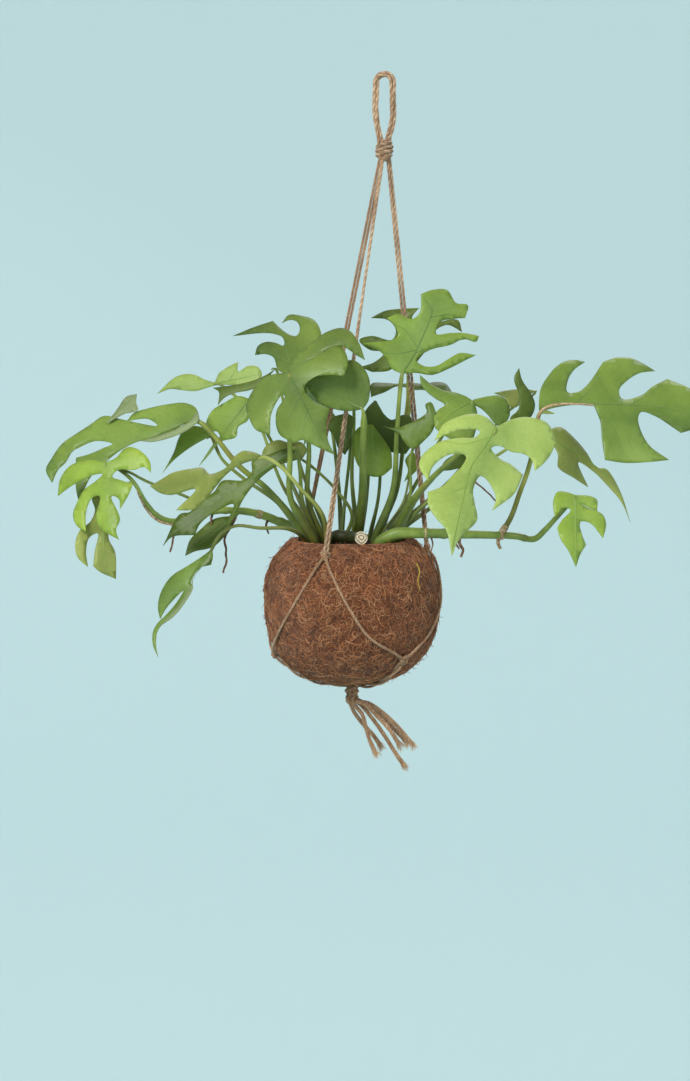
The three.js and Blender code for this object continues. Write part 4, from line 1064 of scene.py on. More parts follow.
# %% Leaves on the right
right_leaves = {
    "front_right": (dict(
      crown=(8, -14), via=[(404, 515, -20), (418, 493, -38), (446, 465, -56), (476, 440, -63)],
      radii=(3, 1.8),
      blades=[dict(
        depth=-66, lean=(0.5, 0.5), tip=(452, 556),
        rib=[(496, 427), (485, 446), (471, 467), (463, 500), (452, 548)], fold=0.1, arch=-0.06,
        edge=[(496, 427), (490, 420), (481, 415), (470, 414), (455, 418), (443, 425),
          (434, 441, 1), (445, 435), (456, 431), (468, 429), (480, 431), (476, 437),
          (460, 438), (442, 441), (430, 448), (422, 456), (419, 466), (428, 481, 1),
          (432, 468), (441, 459), (452, 454), (466, 456), (462, 466), (452, 476),
          (443, 486), (428, 492, 1), (428, 505), (436, 518), (446, 530), (452, 556, 1),
          (456, 545), (463, 535), (477, 520), (475, 505), (473, 490), (480, 476),
          (486, 479), (496, 498), (492, 511, 1), (503, 503), (514, 494), (523, 475, 1),
          (510, 464), (500, 459), (491, 448), (500, 446), (512, 452), (524, 454), (532, 460),
          (535, 471, 1), (545, 462), (552, 452), (555, 441), (548, 424), (538, 419),
          (524, 417), (510, 420)],
      )]), "pale"),
    "right_olive": (dict(
      crown=(8, 4), via=[(430, 500, -2), (490, 460, 8), (530, 436, 17)], radii=(1.8, 1.1),
      blades=[dict(
        depth=20, lean=(0.65, 0.7), tip=(630, 522),
        rib=[(552, 440), (565, 447), (580, 455), (594, 465), (608, 476)],
        edge=[(548, 430), (560, 427), (574, 438), (586, 452), (596, 467), (606, 469),
          (612, 476), (622, 496), (630, 522, 1), (622, 503), (606, 484), (594, 472),
          (578, 462), (588, 487, 1), (574, 478), (558, 467), (558, 455), (553, 444)],
      )]), "olive"),
    "top_right": (dict(
      crown=(-8, -12), via=[(393, 490, -16), (397, 430, -18)], radii=(3, 1.6),
      blades=[dict(
        depth=-20, lean=(0.4, 0.12), tip=(440, 290),
        rib=[(402, 373), (413, 357), (422, 338), (429, 322), (435, 303)],
        edge=[(402, 374), (392, 369), (386, 358), (378, 350), (362, 343, 1), (375, 342),
          (392, 340), (398, 335), (394, 325), (387, 318, 1), (398, 314), (412, 319),
          (420, 312), (421, 294, 1), (432, 290), (447, 290), (456, 303), (468, 305),
          (465, 318, 1), (452, 319), (440, 322), (436, 334), (450, 333), (464, 333),
          (479, 336, 1), (476, 342), (464, 339), (450, 345), (430, 350), (416, 360),
          (424, 366), (436, 366), (450, 358), (460, 353), (476, 355, 1), (462, 362),
          (448, 369), (432, 375), (416, 373)],
      )]), "fresh"),
    "top_right_behind": (dict(
      crown=(-6, 18), via=[(397, 490, 32), (404, 430, 46), (408, 395, 47)], radii=(2, 1.4),
      blades=[dict(
        depth=44, lean=(-0.5, 0.3), tip=(373, 318),
        edge=[(408, 374), (398, 366), (388, 371), (372, 372, 1), (360, 367, 1), (375, 362),
          (385, 352), (370, 350), (359, 340), (372, 336), (392, 340), (396, 330),
          (388, 320), (371, 318, 1), (385, 311), (400, 309), (419, 308, 1), (412, 318),
          (420, 330), (440, 322), (458, 320), (462, 332, 1), (448, 325), (436, 330),
          (430, 345), (420, 358)],
      )]), "dark"),
    "right_mid": (dict(
      crown=(2, 14), via=[(418, 480, 28), (440, 440, 14), (456, 415, 0)], radii=(2, 1.3),
      blades=[dict(
        depth=-10, lean=(0.3, 0.4), tip=(420, 375),
        edge=[(474, 402), (467, 397), (457, 393), (443, 390), (431, 384), (420, 375, 1),
          (421, 384), (427, 392), (436, 399), (445, 405), (438, 410), (434, 417), (435, 428, 1),
          (442, 434), (453, 440), (464, 441), (474, 437, 1), (477, 424), (477, 412)],
      ), dict(
        depth=-10, lean=(0.3, 0.4), tip=(509, 422),
        edge=[(471, 404), (473, 400), (480, 398), (490, 396), (501, 396), (508, 403),
          (510, 413), (507, 421), (500, 427, 1), (494, 423), (488, 415), (480, 408)],
      )]), "mid"),
    "dark_pointed": (dict(
      crown=(8, 20), via=[(440, 500, 28), (480, 455, 36), (505, 432, 40)], radii=(2, 1.3),
      blades=[dict(
        depth=40, lean=(0.5, 0.2), tip=(519, 368),
        edge=[(514, 426), (510, 418), (518, 410), (519, 396), (514, 378), (519, 368, 1),
          (522, 380), (530, 392), (535, 405), (530, 418)],
      )]), "dark"),
    "back_right": (dict(
      crown=(-2, 30), via=[(398, 480, 50), (408, 420, 66)], radii=(1.8, 1.2),
      blades=[dict(
        depth=64, lean=(0.3, 1.2), tip=(371, 388), hub=(412, 387),
        edge=[(413, 390), (398, 386), (385, 392), (371, 397, 1), (371, 384), (385, 383),
          (400, 384), (412, 383), (425, 384), (436, 382), (446, 384), (454, 396, 1),
          (440, 394), (425, 390)],
      )]), "dark"),
    "grey_behind": (dict(
      crown=(4, 24), via=[(450, 480, 44), (510, 410, 70), (532, 396, 79)], radii=(1.5, 1),
      blades=[dict(
        depth=79, lean=(0.4, 0.9), tip=(494, 392),
        edge=[(537, 391), (524, 389), (510, 390), (494, 393, 1), (505, 398), (508, 406),
          (517, 407), (523, 398)],
      )]), "olive"),
    "right_low": (dict(
      crown=(12, -2), via=[(415, 500, -4)], radii=(3, 2),
      blades=[dict(
        depth=-6, lean=(0, 0.3), tip=(472, 457),
        edge=[(440, 471), (444, 462), (452, 456), (462, 454), (472, 457, 1), (464, 466),
          (452, 470)],
      )]), "dark"),
}
grow(right_leaves, 400)

# %% [markdown]
# On the left the leaves reach far out and hang down from long stalks. One of them turns its dull
# olive underside to the front. Two have a folded edge that shows the underside as well: it is
# drawn as a small blade of its own, marked as turned.

# %% Leaves on the left
left_leaves = {
    "far_left": (dict(
      crown=(-66, -4), via=[(269, 491, -16), (239, 466, -18), (215, 437, -17)], radii=(3.2, 1.8),
      blades=[dict(
        depth=-15, lean=(-0.5, 0.6), tip=(52, 483), fold=0.1,
        edge=[(200, 421), (182, 425), (175, 430), (162, 434), (152, 440), (140, 441),
          (128, 446), (118, 452), (108, 460), (100, 467), (90, 478), (79, 503, 1), (76, 488),
          (76, 458, 1), (90, 454), (104, 448), (113, 444), (96, 441), (80, 447), (72, 452),
          (66, 462), (58, 470), (52, 483, 1), (46, 470), (52, 458), (62, 444), (76, 434),
          (90, 425), (104, 416), (120, 419), (133, 422), (158, 426), (148, 419), (127, 421, 1),
          (134, 413), (146, 409), (170, 404), (185, 403), (196, 408)],
      ), dict(
        depth=24.1, lean=(-0.5, 0.7), tip=(137, 394), hub=(112, 418), turned=True,
        edge=[(106, 424), (118, 408), (126, 397), (137, 394, 1), (136, 402), (138, 410),
          (124, 414)],
      ), dict(
        depth=-14, lean=(-0.5, 0.6), tip=(141, 441), hub=(198, 414), turned=True,
        edge=[(197, 411), (194, 415), (190, 421), (178, 428), (166, 433), (154, 437),
          (141, 441, 1), (152, 442), (166, 439), (180, 434), (192, 427), (199, 420)],
      )]), "mid"),
    "left_upper_pale": (dict(
      crown=(-60, 22), via=[(290, 480, 42), (258, 420, 62)], radii=(1.8, 1.1),
      blades=[dict(
        depth=70, lean=(-0.5, 0.5), tip=(157, 394),
        edge=[(220, 384), (206, 380), (195, 375), (186, 374), (174, 378), (165, 386),
          (157, 394, 1), (170, 389), (180, 390), (196, 391), (206, 388)],
      ), dict(
        depth=72.5, lean=(-0.5, 0.5), tip=(262, 374),
        edge=[(214, 384), (219, 373, 1), (228, 367), (238, 362, 1), (238, 372), (248, 366),
          (258, 367), (262, 374), (258, 382), (246, 385), (232, 385)],
      )]), "pale"),
    "left_strip": (dict(
      crown=(-48, 18), via=[(305, 480, 22), (285, 410, 20)], radii=(1.6, 1.1),
      blades=[dict(
        depth=14, lean=(-0.3, 0.6), tip=(213, 388),
        edge=[(276, 368), (268, 374), (255, 380), (240, 384), (213, 388, 1), (219, 392),
          (218, 405, 1), (224, 398), (235, 393), (250, 390), (262, 384)],
      )]), "dark"),
    "left_bright_upper": (dict(
      crown=(-52, 1), via=[(285, 490, 3), (262, 430, 8)], radii=(1.8, 1.1),
      blades=[dict(
        depth=6, lean=(-0.5, 0.5), tip=(199, 466),
        edge=[(250, 399), (238, 396), (226, 402), (212, 411), (206, 424), (208, 434),
          (216, 431), (220, 436), (212, 446), (199, 466, 1), (208, 456), (220, 442),
          (236, 437), (238, 427), (248, 420)],
      )]), "fresh"),
    "left_bright_lower": (dict(
      crown=(-68, 3), via=[(280, 505, 4), (243, 478, 10), (222, 459, 11)], radii=(2, 1.2),
      blades=[dict(
        depth=12, lean=(-0.4, 0.1), tip=(162, 474),
        edge=[(211, 436), (204, 428), (194, 426), (184, 429), (178, 440), (174, 452),
          (162, 474, 1), (172, 462), (184, 452), (196, 444)],
      )]), "lime"),
    "left_olive": (dict(
      crown=(-48, -32), via=[(322, 514, -48), (300, 488, -56), (280, 466, -62)], radii=(2, 1.4),
      pale_stalk=True, blades=[dict(
        depth=-64, lean=(0.45, 0.6), tip=(160, 490), fold=0.15,
        edge=[(265, 457), (253, 452), (243, 451), (235, 456), (228, 466), (218, 472),
          (209, 474), (203, 468), (190, 469), (172, 473), (162, 479), (150, 486, 1),
          (160, 493), (172, 495), (196, 489), (176, 510, 1), (192, 510), (204, 502),
          (214, 489), (226, 475), (238, 466), (251, 461)],
      )]), "olive"),
    "left_dark": (dict(
      crown=(-56, -16), via=[(302, 500, -30), (300, 470, -36)], radii=(2.2, 1.4),
      blades=[dict(
        depth=-40, lean=(-0.25, 0.3), tip=(170, 535),
        edge=[(297, 447), (284, 449), (268, 455), (252, 461), (252, 472), (244, 480),
          (222, 481), (214, 492), (200, 500), (190, 512), (180, 514), (163, 546, 1), (172, 537),
          (195, 535, 1), (200, 524), (212, 514), (234, 504), (228, 520), (225, 532, 1),
          (234, 518), (243, 500), (253, 486), (264, 475), (278, 465), (292, 456)],
      )]), "dark"),
    "drooping": (dict(
      crown=(-66, -15), via=[(289, 529, -36), (260, 528, -46), (235, 526, -50), (220, 535, -50)],
      radii=(1.8, 1.2),
      pale_stalk=True, blades=[dict(
        depth=-50, lean=(-0.5, 0.4), tip=(158, 640),
        edge=[(212, 549), (200, 558), (186, 567), (172, 576), (162, 590), (158, 606),
          (160, 619, 1), (168, 606), (184, 590), (177, 602), (167, 614), (157, 624),
          (153, 632), (153, 645), (158, 657, 1), (156, 645), (157, 633), (161, 626),
          (171, 617), (179, 609), (192, 588),
          (191, 582), (200, 568), (211, 565, 1), (213, 556)],
      ), dict(
        depth=-55, lean=(-0.5, 0.4), tip=(160, 626), turned=True,
        edge=[(210, 556), (202, 565), (194, 577), (190, 589), (181, 602), (170, 615),
          (160, 626, 1), (173, 617), (184, 604), (193, 588), (192, 581), (201, 568), (210, 561)],
      )]), "mid"),
}
grow(left_leaves, 700)

# %% [markdown]
# Two leaves lean away behind the cords, so that the back isn't bare. The front stays fuller.

# %% Leaves at the back
back_leaves = {
    "back_left": (dict(
      crown=(-36, 34), via=[(338, 480, 48), (330, 420, 58)], radii=(2, 1.3),
      blades=[dict(
        depth=60, lean=(-1.1, -1.5), tip=(302, 436),
        edge=[(320, 391), (304, 388), (290, 396), (283, 410, 1), (297, 411), (288, 424),
          (290, 437, 1), (303, 431), (304, 446, 1), (312, 434), (320, 440, 1), (321, 426),
          (338, 420, 1), (330, 408), (327, 398)],
      )]), "mid"),
    "back_middle": (dict(
      crown=(-22, 38), via=[(352, 480, 56), (354, 420, 62)], radii=(2, 1.3),
      blades=[dict(
        depth=58, lean=(1.2, -2.1), tip=(356, 404),
        edge=[(353, 371), (342, 374), (334, 384), (331, 396, 1), (342, 393), (346, 407, 1),
          (352, 401), (357, 408, 1), (361, 396), (368, 399, 1), (368, 388), (362, 378)],
      )]), "mid"),
}
grow(back_leaves, 900)

# %% [markdown]
# Two runners creep out over the rim, a centimetre thick where they leave the soil. A runner
# is ringed at each node, where an old leaf sheath was, and a leaf stalk, a bud or brown aerial
# roots start there. The rings and dry sheaths are short collars on the runner's own line.

# %% Runner blades
big_right = dict(
    depth=-40, lean=(0.55, 0.6), tip=(728, 430), fold=0.12,
    rib=[(541, 410), (560, 404), (594, 404), (625, 405), (660, 407), (700, 418)],
    edge=[(539, 412), (539, 400), (541, 388), (548, 376), (557, 366), (566, 361),
      (575, 360), (585, 362, 1), (574, 370), (568, 380), (567, 392), (578, 392), (588, 384),
      (603, 362, 1), (615, 358), (630, 358), (642, 363), (655, 371, 1), (640, 373),
      (628, 380), (619, 390), (622, 399), (642, 395), (652, 387), (667, 379, 1),
      (680, 384), (695, 391), (712, 404), (728, 430, 1), (710, 428), (696, 429),
      (681, 433, 1), (668, 424), (655, 416), (641, 412), (638, 420), (648, 444),
      (669, 460, 1), (650, 462), (625, 463), (605, 460, 1), (602, 440), (600, 420),
      (594, 406, 1), (575, 405), (558, 407)])
small_right = dict(
    depth=-68, lean=(0.55, 0.5), tip=(576, 567), fold=0.15,
    edge=[(575, 495), (566, 492), (557, 492), (553, 503), (555, 517, 1), (563, 508),
      (571, 510), (562, 520), (557, 528, 1), (561, 540), (568, 550), (576, 567, 1),
      (580, 555), (586, 545, 1), (582, 535), (580, 522), (590, 523), (603, 538, 1),
      (606, 524), (602, 514), (588, 508), (578, 503), (597, 511, 1), (597, 500), (590, 496)])
left_lime = dict(
    depth=-34, lean=(-0.45, 0.45), tip=(119, 540), fold=0.1,
    edge=[(106, 462), (116, 458), (124, 449), (131, 447), (142, 452), (150, 462),
      (151, 473, 1), (144, 467), (134, 470), (118, 470), (112, 477), (120, 480),
      (133, 484, 1), (128, 496), (120, 509, 1), (119, 499), (111, 496), (120, 519),
      (116, 530), (119, 540, 1), (100, 528), (96, 518), (100, 496), (92, 498), (86, 512),
      (86, 532, 1), (77, 526), (73, 515), (77, 503), (84, 490), (96, 481), (103, 474),
      (90, 476), (70, 487), (58, 496, 1), (60, 480), (70, 466), (88, 460)])
left_hanging = dict(
    depth=-22, lean=(0.45, 0.35), tip=(105, 570),
    edge=[(101, 494), (92, 498), (95, 510), (90, 522), (80, 530), (75, 545), (78, 558),
      (88, 567, 1), (86, 552), (89, 538), (98, 533), (95, 550), (93, 566, 1), (100, 572),
      (116, 579, 1), (115, 552), (109, 540), (108, 530), (104, 515)])
low_dark = dict(
    depth=3, lean=(0, 0.5), tip=(185, 556),
    edge=[(235, 516), (222, 517), (212, 520), (200, 530), (190, 540), (185, 556, 1),
      (196, 551), (207, 549), (216, 545), (226, 534)])


def runner_blade(name, shape, tint, seed, vein):
    """A leaf that grows from a runner. Returns the lines of its veins, and its relief."""
    made = bmesh.new()
    relief = blade(made, shape, seed, made.loops.layers.uv.new("drawing"))
    two_faced(name, made, tint)
    return vein_lines(shape, *relief, vein), *relief


# %% Runner stems
def dry_finish(name, dark, mid, light):
    """Dull, fibrous skin, for old sheaths and aerial roots."""
    material, tree, shader = finish_named(name, 0.8, specular=0.25)
    fibres = ramp(tree, speckle(tree, 420, 5, distortion=0.6),
                  [(0.3, dark), (0.52, mid), (0.72, light)])
    tree.links.new(fibres, shader.inputs["Base Color"])
    raised(tree, shader, speckle(tree, 1300, 4), 0.6, 0.4 * MM)
    return material


RUNNER = stem_finish("runner_green", (0.085, 0.125, 0.020), (0.145, 0.205, 0.034),
                     (0.205, 0.275, 0.052), (0.85, 0.8, 0.6))
SHEATH = dry_finish("dry_sheath", (0.16, 0.09, 0.04), (0.38, 0.26, 0.14), (0.58, 0.46, 0.31))
ROOT = dry_finish("aerial_root", (0.045, 0.022, 0.012), (0.13, 0.065, 0.035), (0.27, 0.15, 0.085))
ROOT_YOUNG = dry_finish("young_root", (0.20, 0.12, 0.017), (0.335, 0.21, 0.034),
                        (0.45, 0.295, 0.064))
ELSEWHERE = Vector((9, 9, 9))
MAT_VEIN, MAT_GREEN, MAT_STALK, MAT_DRY, MAT_ROOT, MAT_BRIGHT_VEIN, MAT_YOUNG_ROOT = range(7)


def creeping(run, start, end, joints):
    """Radii of a runner, with a shallow ring at each joint (a share of its length). The stem
    thins quickly at first and slowly later."""
    radii = []
    for i in range(len(run)):
        t = i / (len(run) - 1)
        ring = sum(0.16 * math.exp(-((t - j) / 0.008) ** 2)
                   - 0.07 * math.exp(-((t - j - 0.02) / 0.01) ** 2) for j in joints)
        knobbly = 0.05 * noise.noise(run[i] * 60)
        radii.append((start + (end - start) * t ** 0.8) * (1 + ring + knobbly) * MM)
    return thinned(run, radii)


def collar(run, t, radius, wide):
    """A short, slightly flared collar around a run, like the rest of an old sheath."""
    i = max(1, min(len(run) - 3, round(t * (len(run) - 1))))
    along = (run[i + 1] - run[i - 1]).normalized()
    points = [run[i] + along * wide * k * MM for k in (-0.5, -0.2, 0.2, 0.5)]
    return points, [radius * f * MM for f in (0.98, 1.08, 1.05, 0.99)], MAT_DRY


def root_line(points, start, end, number=MAT_ROOT):
    """A crooked root of uneven thickness. start and end are its radii in mm."""
    run = rounded(drawn_line(points), 1.5 * MM)
    run = [p + Vector((noise.noise(p * 150), noise.noise(p * 150 + ELSEWHERE), 0)) * 0.8 * MM
           for p in run]
    radii = [radius * (1 + 0.2 * noise.noise(p * 300)) * MM
             for radius, p in zip(tapered(len(run), start, end), run)]
    return run, radii, number


def even(run, start, end):
    """Radii of a stalk that thins evenly. start and end are in mm."""
    return thinned(run, [radius * MM for radius in tapered(len(run), start, end)])


# %% Right runner
veins_big, *big = runner_blade("blade_big_right", big_right, "mid", 40, MAT_VEIN)
veins_small, *small = runner_blade("blade_small_right", small_right, "lime", 50, MAT_BRIGHT_VEIN)
path = [(395, 534, -34), (420, 533, -34), (455, 534, -32), (490, 535, -30), (515, 536, -32),
        (534, 539, -40), (545, 530, -48), (555, 519, -56), (566, 507, -64)]
petiole = [(501, 534, -30), (511, 517, -31), (520, 492, -31), (528, 470, -31), (535, 440, -30),
           (538, 418, -34)]
run = rounded(planted(-4, -30) + drawn_line(path) + past_hub(*small), 1.5 * MM)
stalk = rounded(drawn_line(petiole) + past_hub(*big), 2 * MM)
scar = rounded(drawn_line([(537, 424, -34), (541, 411, -40), (550, 406, -41), (562, 404, -40),
                           (578, 404, -38), (594, 405, -36)]), 2 * MM)
lines = [(run, creeping(run, 5.8, 1.6, (0.26, 0.335, 0.56, 0.66)), MAT_GREEN),
         (scar, even(scar, 1.5, 0.7), MAT_DRY), (stalk, even(stalk, 2.3, 1.7), MAT_STALK),
         collar(stalk, 0.04, 2.8, 9), collar(run, 0.26, 4.7, 2.2), collar(run, 0.565, 3.6, 2.4),
         root_line([(460, 536, -32), (460, 545, -32), (463, 550, -31), (461, 557, -31)], 1.5, 1.0),
         root_line([(458, 536, -33), (456, 543, -34), (459, 549, -34)], 1.1, 0.7),
         root_line([(499, 537, -31), (498, 543, -32), (500, 549, -32)], 2.1, 1.2, MAT_DRY),
         root_line([(431, 537, -33), (433, 545, -32), (431, 551, -31)], 0.8, 0.5),
         root_line([(462, 467, -6), (469, 476, -12), (478, 484, -17), (487, 492, -20),
                    (496, 501, -22)], 0.9, 0.6),
         root_line([(417, 563, -49), (419, 572, -51), (418, 582, -52), (420, 590, -52)], 0.7, 0.5,
                   MAT_YOUNG_ROOT)]
right = tubes("runner_right_stem", lines + veins_big + veins_small,
              [VEIN["mid"], RUNNER, STALK_YELLOW, SHEATH, ROOT, VEIN["lime"], ROOT_YOUNG], sides=12)
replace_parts(right, "runner_right")

# %% Left runner
veins_lime, *lime = runner_blade("blade_left_lime", left_lime, "lime", 60, MAT_BRIGHT_VEIN)
veins_hanging, *hanging = runner_blade("blade_left_hanging", left_hanging, "olive", 70,
                                       MAT_BRIGHT_VEIN)
veins_low, *low = runner_blade("blade_low_dark", low_dark, "dark", 80, MAT_VEIN)
path = [(275, 520, 14), (262, 515, 14), (243, 511, 10), (215, 511, 0), (190, 517, -10),
        (173, 521, -16), (158, 516, -20), (146, 503, -24), (131, 479, -30)]
run = rounded(planted(-58, 11) + drawn_line(path) + past_hub(*lime), 1.5 * MM)
side_stalk = rounded(drawn_line([(133, 482, -30), (114, 488, -26)]) + past_hub(*hanging), 2 * MM)
low_stalk = rounded(drawn_line([(240, 511, 9)]) + past_hub(*low), 2 * MM)
long_stalk = rounded(drawn_line([(215, 511, 0), (200, 503, -8), (180, 494, -16), (160, 487, -22),
                                 (142, 479, -27), (131, 473, -30), (117, 468, -30)]), 2 * MM)
lines = [(run, creeping(run, 4.9, 1.2, (0.2, 0.29, 0.42, 0.58, 0.7)), MAT_GREEN),
         (side_stalk, even(side_stalk, 1.4, 1.2), MAT_STALK),
         (low_stalk, even(low_stalk, 1.5, 1.3), MAT_GREEN),
         (long_stalk, even(long_stalk, 1.4, 1.2), MAT_STALK),
         root_line([(173, 525, -16), (159, 521, -20), (149, 513, -23), (140, 497, -27),
                    (133, 480, -30)], 1.2, 0.7, MAT_DRY),
         collar(run, 0.20, 4.0, 3), collar(run, 0.29, 3.7, 5), collar(run, 0.42, 3.2, 2),
         root_line([(238, 512, 8), (232, 524, 8), (225, 537, 8), (226, 552, 8), (226, 562, 8),
                    (223, 573, 8)], 1.3, 0.8),
         root_line([(173, 523, -16), (174, 532, -16), (173, 541, -16), (170, 552, -16)], 1.1, 0.8),
         root_line([(213, 512, 0), (211, 520, 0), (212, 524, 0)], 1.2, 0.9),
         root_line([(268, 519, 13), (266, 527, 10), (268, 534, 9)], 1.2, 0.7),
         root_line([(303, 534, 2), (306, 520, 2), (309, 503, 0)], 2.6, 0.7)]
left = tubes("runner_left_stem", lines + veins_low + veins_lime + veins_hanging,
             [VEIN["mid"], RUNNER, STALK, SHEATH, ROOT, VEIN["lime"]], sides=12)
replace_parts(left, "runner_left")

# %% [markdown]
# One old stem was cut short. Its pale, sawn face looks to the front, with the bark's ring and
# the darker rings of the wood. The face is inset a few times, so each ring has its own faces.

# %% Cut stub
STUB_PATH = [(337, 536, -24), (349, 537, -30), (358, 538, -39), (361, 538, -48)]
STUB_BEFORE, STUB_END = drawn_line(STUB_PATH[-2:])
STUB_RADIUS, FACE_RADIUS, PITH_RADIUS = 5.2 * MM, 5.5 * MM, 4.6 * MM
# The stub's bark: a dark greenish brown that is partly painted shade, with more painted shade
# towards the soil (foot=True).
OLD_BARK_WITH_SHADE = stem_finish("old_bark_with_shade", (0.030, 0.036, 0.012), (0.066, 0.082, 0.024),
                       (0.110, 0.124, 0.040), (0.8, 0.6, 0.45), foot=True)


def pith_finish():
    """Pale wood with darker, wavering rings around the middle of the cut."""
    material, tree, shader = finish_named("cut_face", 0.75, specular=0.2)
    coords = node(tree, "TexCoord")
    centre = node(tree, "VectorMath", operation="SUBTRACT")
    tree.links.new(coords.outputs["Object"], centre.inputs[0])
    centre.inputs[1].default_value = STUB_END
    rings = node(tree, "TexWave", wave_type="RINGS", rings_direction="SPHERICAL", Scale=150,
                 Distortion=9, Detail=4)
    tree.links.new(centre.outputs["Vector"], rings.inputs["Vector"])
    colour = ramp(tree, rings.outputs["Fac"],
                  [(0.1, (0.21, 0.14, 0.08)), (0.45, (0.45, 0.36, 0.24)),
                   (0.85, (0.64, 0.55, 0.40))])
    tree.links.new(colour, shader.inputs["Base Color"])
    raised(tree, shader, rings.outputs["Fac"], 0.4, 0.3 * MM)
    return material


def stub():
    """The bark of the stub, from the soil to the cut."""
    foot = planted(-45, -19)[0]
    above = foot + Vector((0, 0, ROOT_DEPTH + 3 * MM))
    run = rounded([foot, above, *drawn_line(STUB_PATH)], 1.5 * MM)
    radii = [STUB_RADIUS * (1 + 0.07 * noise.noise(p * 90)) for p in run]
    return tubes("stub_bark", [(run, radii, 0)], [OLD_BARK_WITH_SHADE], sides=20)


def stub_face():
    """The cut, as a disc that is inset ring by ring. Its outer ring is dry bark."""
    along = (STUB_END - STUB_BEFORE).normalized()
    made = bmesh.new()
    bmesh.ops.create_circle(made, cap_ends=True, segments=28, radius=FACE_RADIUS)
    for thickness, depth in ((0.5, 0.5), (0.7, 0.1), (1.4, -0.35), (1.5, 0.2)):
        bmesh.ops.inset_region(made, faces=[f for f in made.faces if len(f.verts) > 4],
                               thickness=thickness * MM, depth=depth * MM)
    turn = along.to_track_quat("Z", "Y").to_matrix().to_4x4()
    bmesh.ops.transform(made, verts=made.verts,
                        matrix=Matrix.Translation(STUB_END + along * 0.2 * MM) @ turn)
    mesh = as_mesh("stub_face", made)
    for face in mesh.polygons:
        face.material_index = int((face.center - STUB_END).length > PITH_RADIUS)
    return placed("stub_face", mesh, [pith_finish(), SHEATH])


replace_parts(stub(), "cut_stub")
stub_face()

# %% [markdown]
# The ball is coir: coconut fibre felted into a thick mat. Its body is one profile spun around
# the axis, down the outside and up the inside, and roughened with noise. Thousands of single
# fibres lie on it in short curves. They are thin three-sided tubes in three browns, because
# it is their crossing and their small shadows that make the surface look felted.

# %% Coir finishes
def coir_finish(name, dark, mid, light):
    """Fine crossing streaks, larger patches and a deep, crumbly relief."""
    material, tree, shader = finish_named(name, 0.9, sheen=0.15, specular=0.15)
    strands = ramp(tree, speckle(tree, 700, 6, distortion=1.5),
                   [(0.3, dark), (0.5, mid), (0.7, light)])
    patches = ramp(tree, speckle(tree, 75, 5, distortion=0.8),
                   [(0.32, (0.66, 0.60, 0.56)), (0.46, (0.97, 0.95, 0.93)),
                    (0.68, (1.16, 1.14, 1.12))])
    tree.links.new(multiplied(tree, 1.0, strands, patches), shader.inputs["Base Color"])
    raised(tree, shader, speckle(tree, 700, 5, distortion=2.5), 1.0, 1.4 * MM)
    return material


COIR_BODY = coir_finish("coir_body", (0.058, 0.015, 0.005), (0.145, 0.045, 0.014),
                        (0.262, 0.093, 0.034))
COIR_FIBRES = {
    "dark": coir_finish("coir_dark", (0.097, 0.028, 0.009), (0.184, 0.058, 0.020),
                        (0.272, 0.096, 0.034)),
    "mid": coir_finish("coir_mid", (0.301, 0.096, 0.031), (0.475, 0.168, 0.060),
                       (0.630, 0.251, 0.099)),
    "light": coir_finish("coir_light", (0.466, 0.207, 0.085), (0.640, 0.316, 0.146),
                         (0.795, 0.437, 0.224))}
print("coir finishes made")

# %% Ball
WALL_THICK = 8 * MM
RIM_INNER = 46 * MM
WIDEST, WIDEST_Z = 74.4 * MM, -51 * MM


def lump(place):
    """How far the felt stands out at a place, in metres."""
    return (noise.noise(place * 28) * 0.9 + noise.noise(place * 120) * 0.6) * MM


def spun(profile, steps, merge):
    """A bmesh of a profile spun around the upright axis, with its pole closed."""
    made = bmesh.new()
    points = [made.verts.new(p) for p in profile]
    edges = [made.edges.new(e) for e in zip(points, points[1:])]
    bmesh.ops.spin(made, geom=points + edges, cent=(0, 0, 0), axis=(0, 0, 1), angle=2 * math.pi,
                   steps=steps, use_merge=True)
    bmesh.ops.remove_doubles(made, verts=made.verts, dist=merge)
    bmesh.ops.recalc_face_normals(made, faces=made.faces)
    return made


def bowl():
    """The felted wall: its outside, its rim and its inside in one profile."""
    scale = (WIDEST - WALL_THICK) / WIDEST
    outside = ball_line[::6]
    inside = [Vector((p.x * scale, 0, WIDEST_Z + (p.z - WIDEST_Z) * scale)) for p in outside]
    made = spun(outside[::-1] + [Vector((RIM_INNER, 0, -1 * MM))] + inside[3:], 110, 0.05 * MM)
    bmesh.ops.translate(made, vec=(BALL_X, 0, RIM_Z), verts=made.verts)
    for v in made.verts:
        v.co += v.normal * lump(v.co)
    return placed("coir_bowl", as_mesh("coir_bowl", made), [COIR_BODY])


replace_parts(bowl(), "coir_ball")

# %% Fibres
FIBRES = {"dark": (2600, (5, 13), 0.24), "mid": (6800, (5, 15), 0.25),
          "light": (3000, (5, 16), 0.22)}
FIBRE_PARTS = 4
BALL_RUN = run_length(ball_line)
felt = random.Random(11)


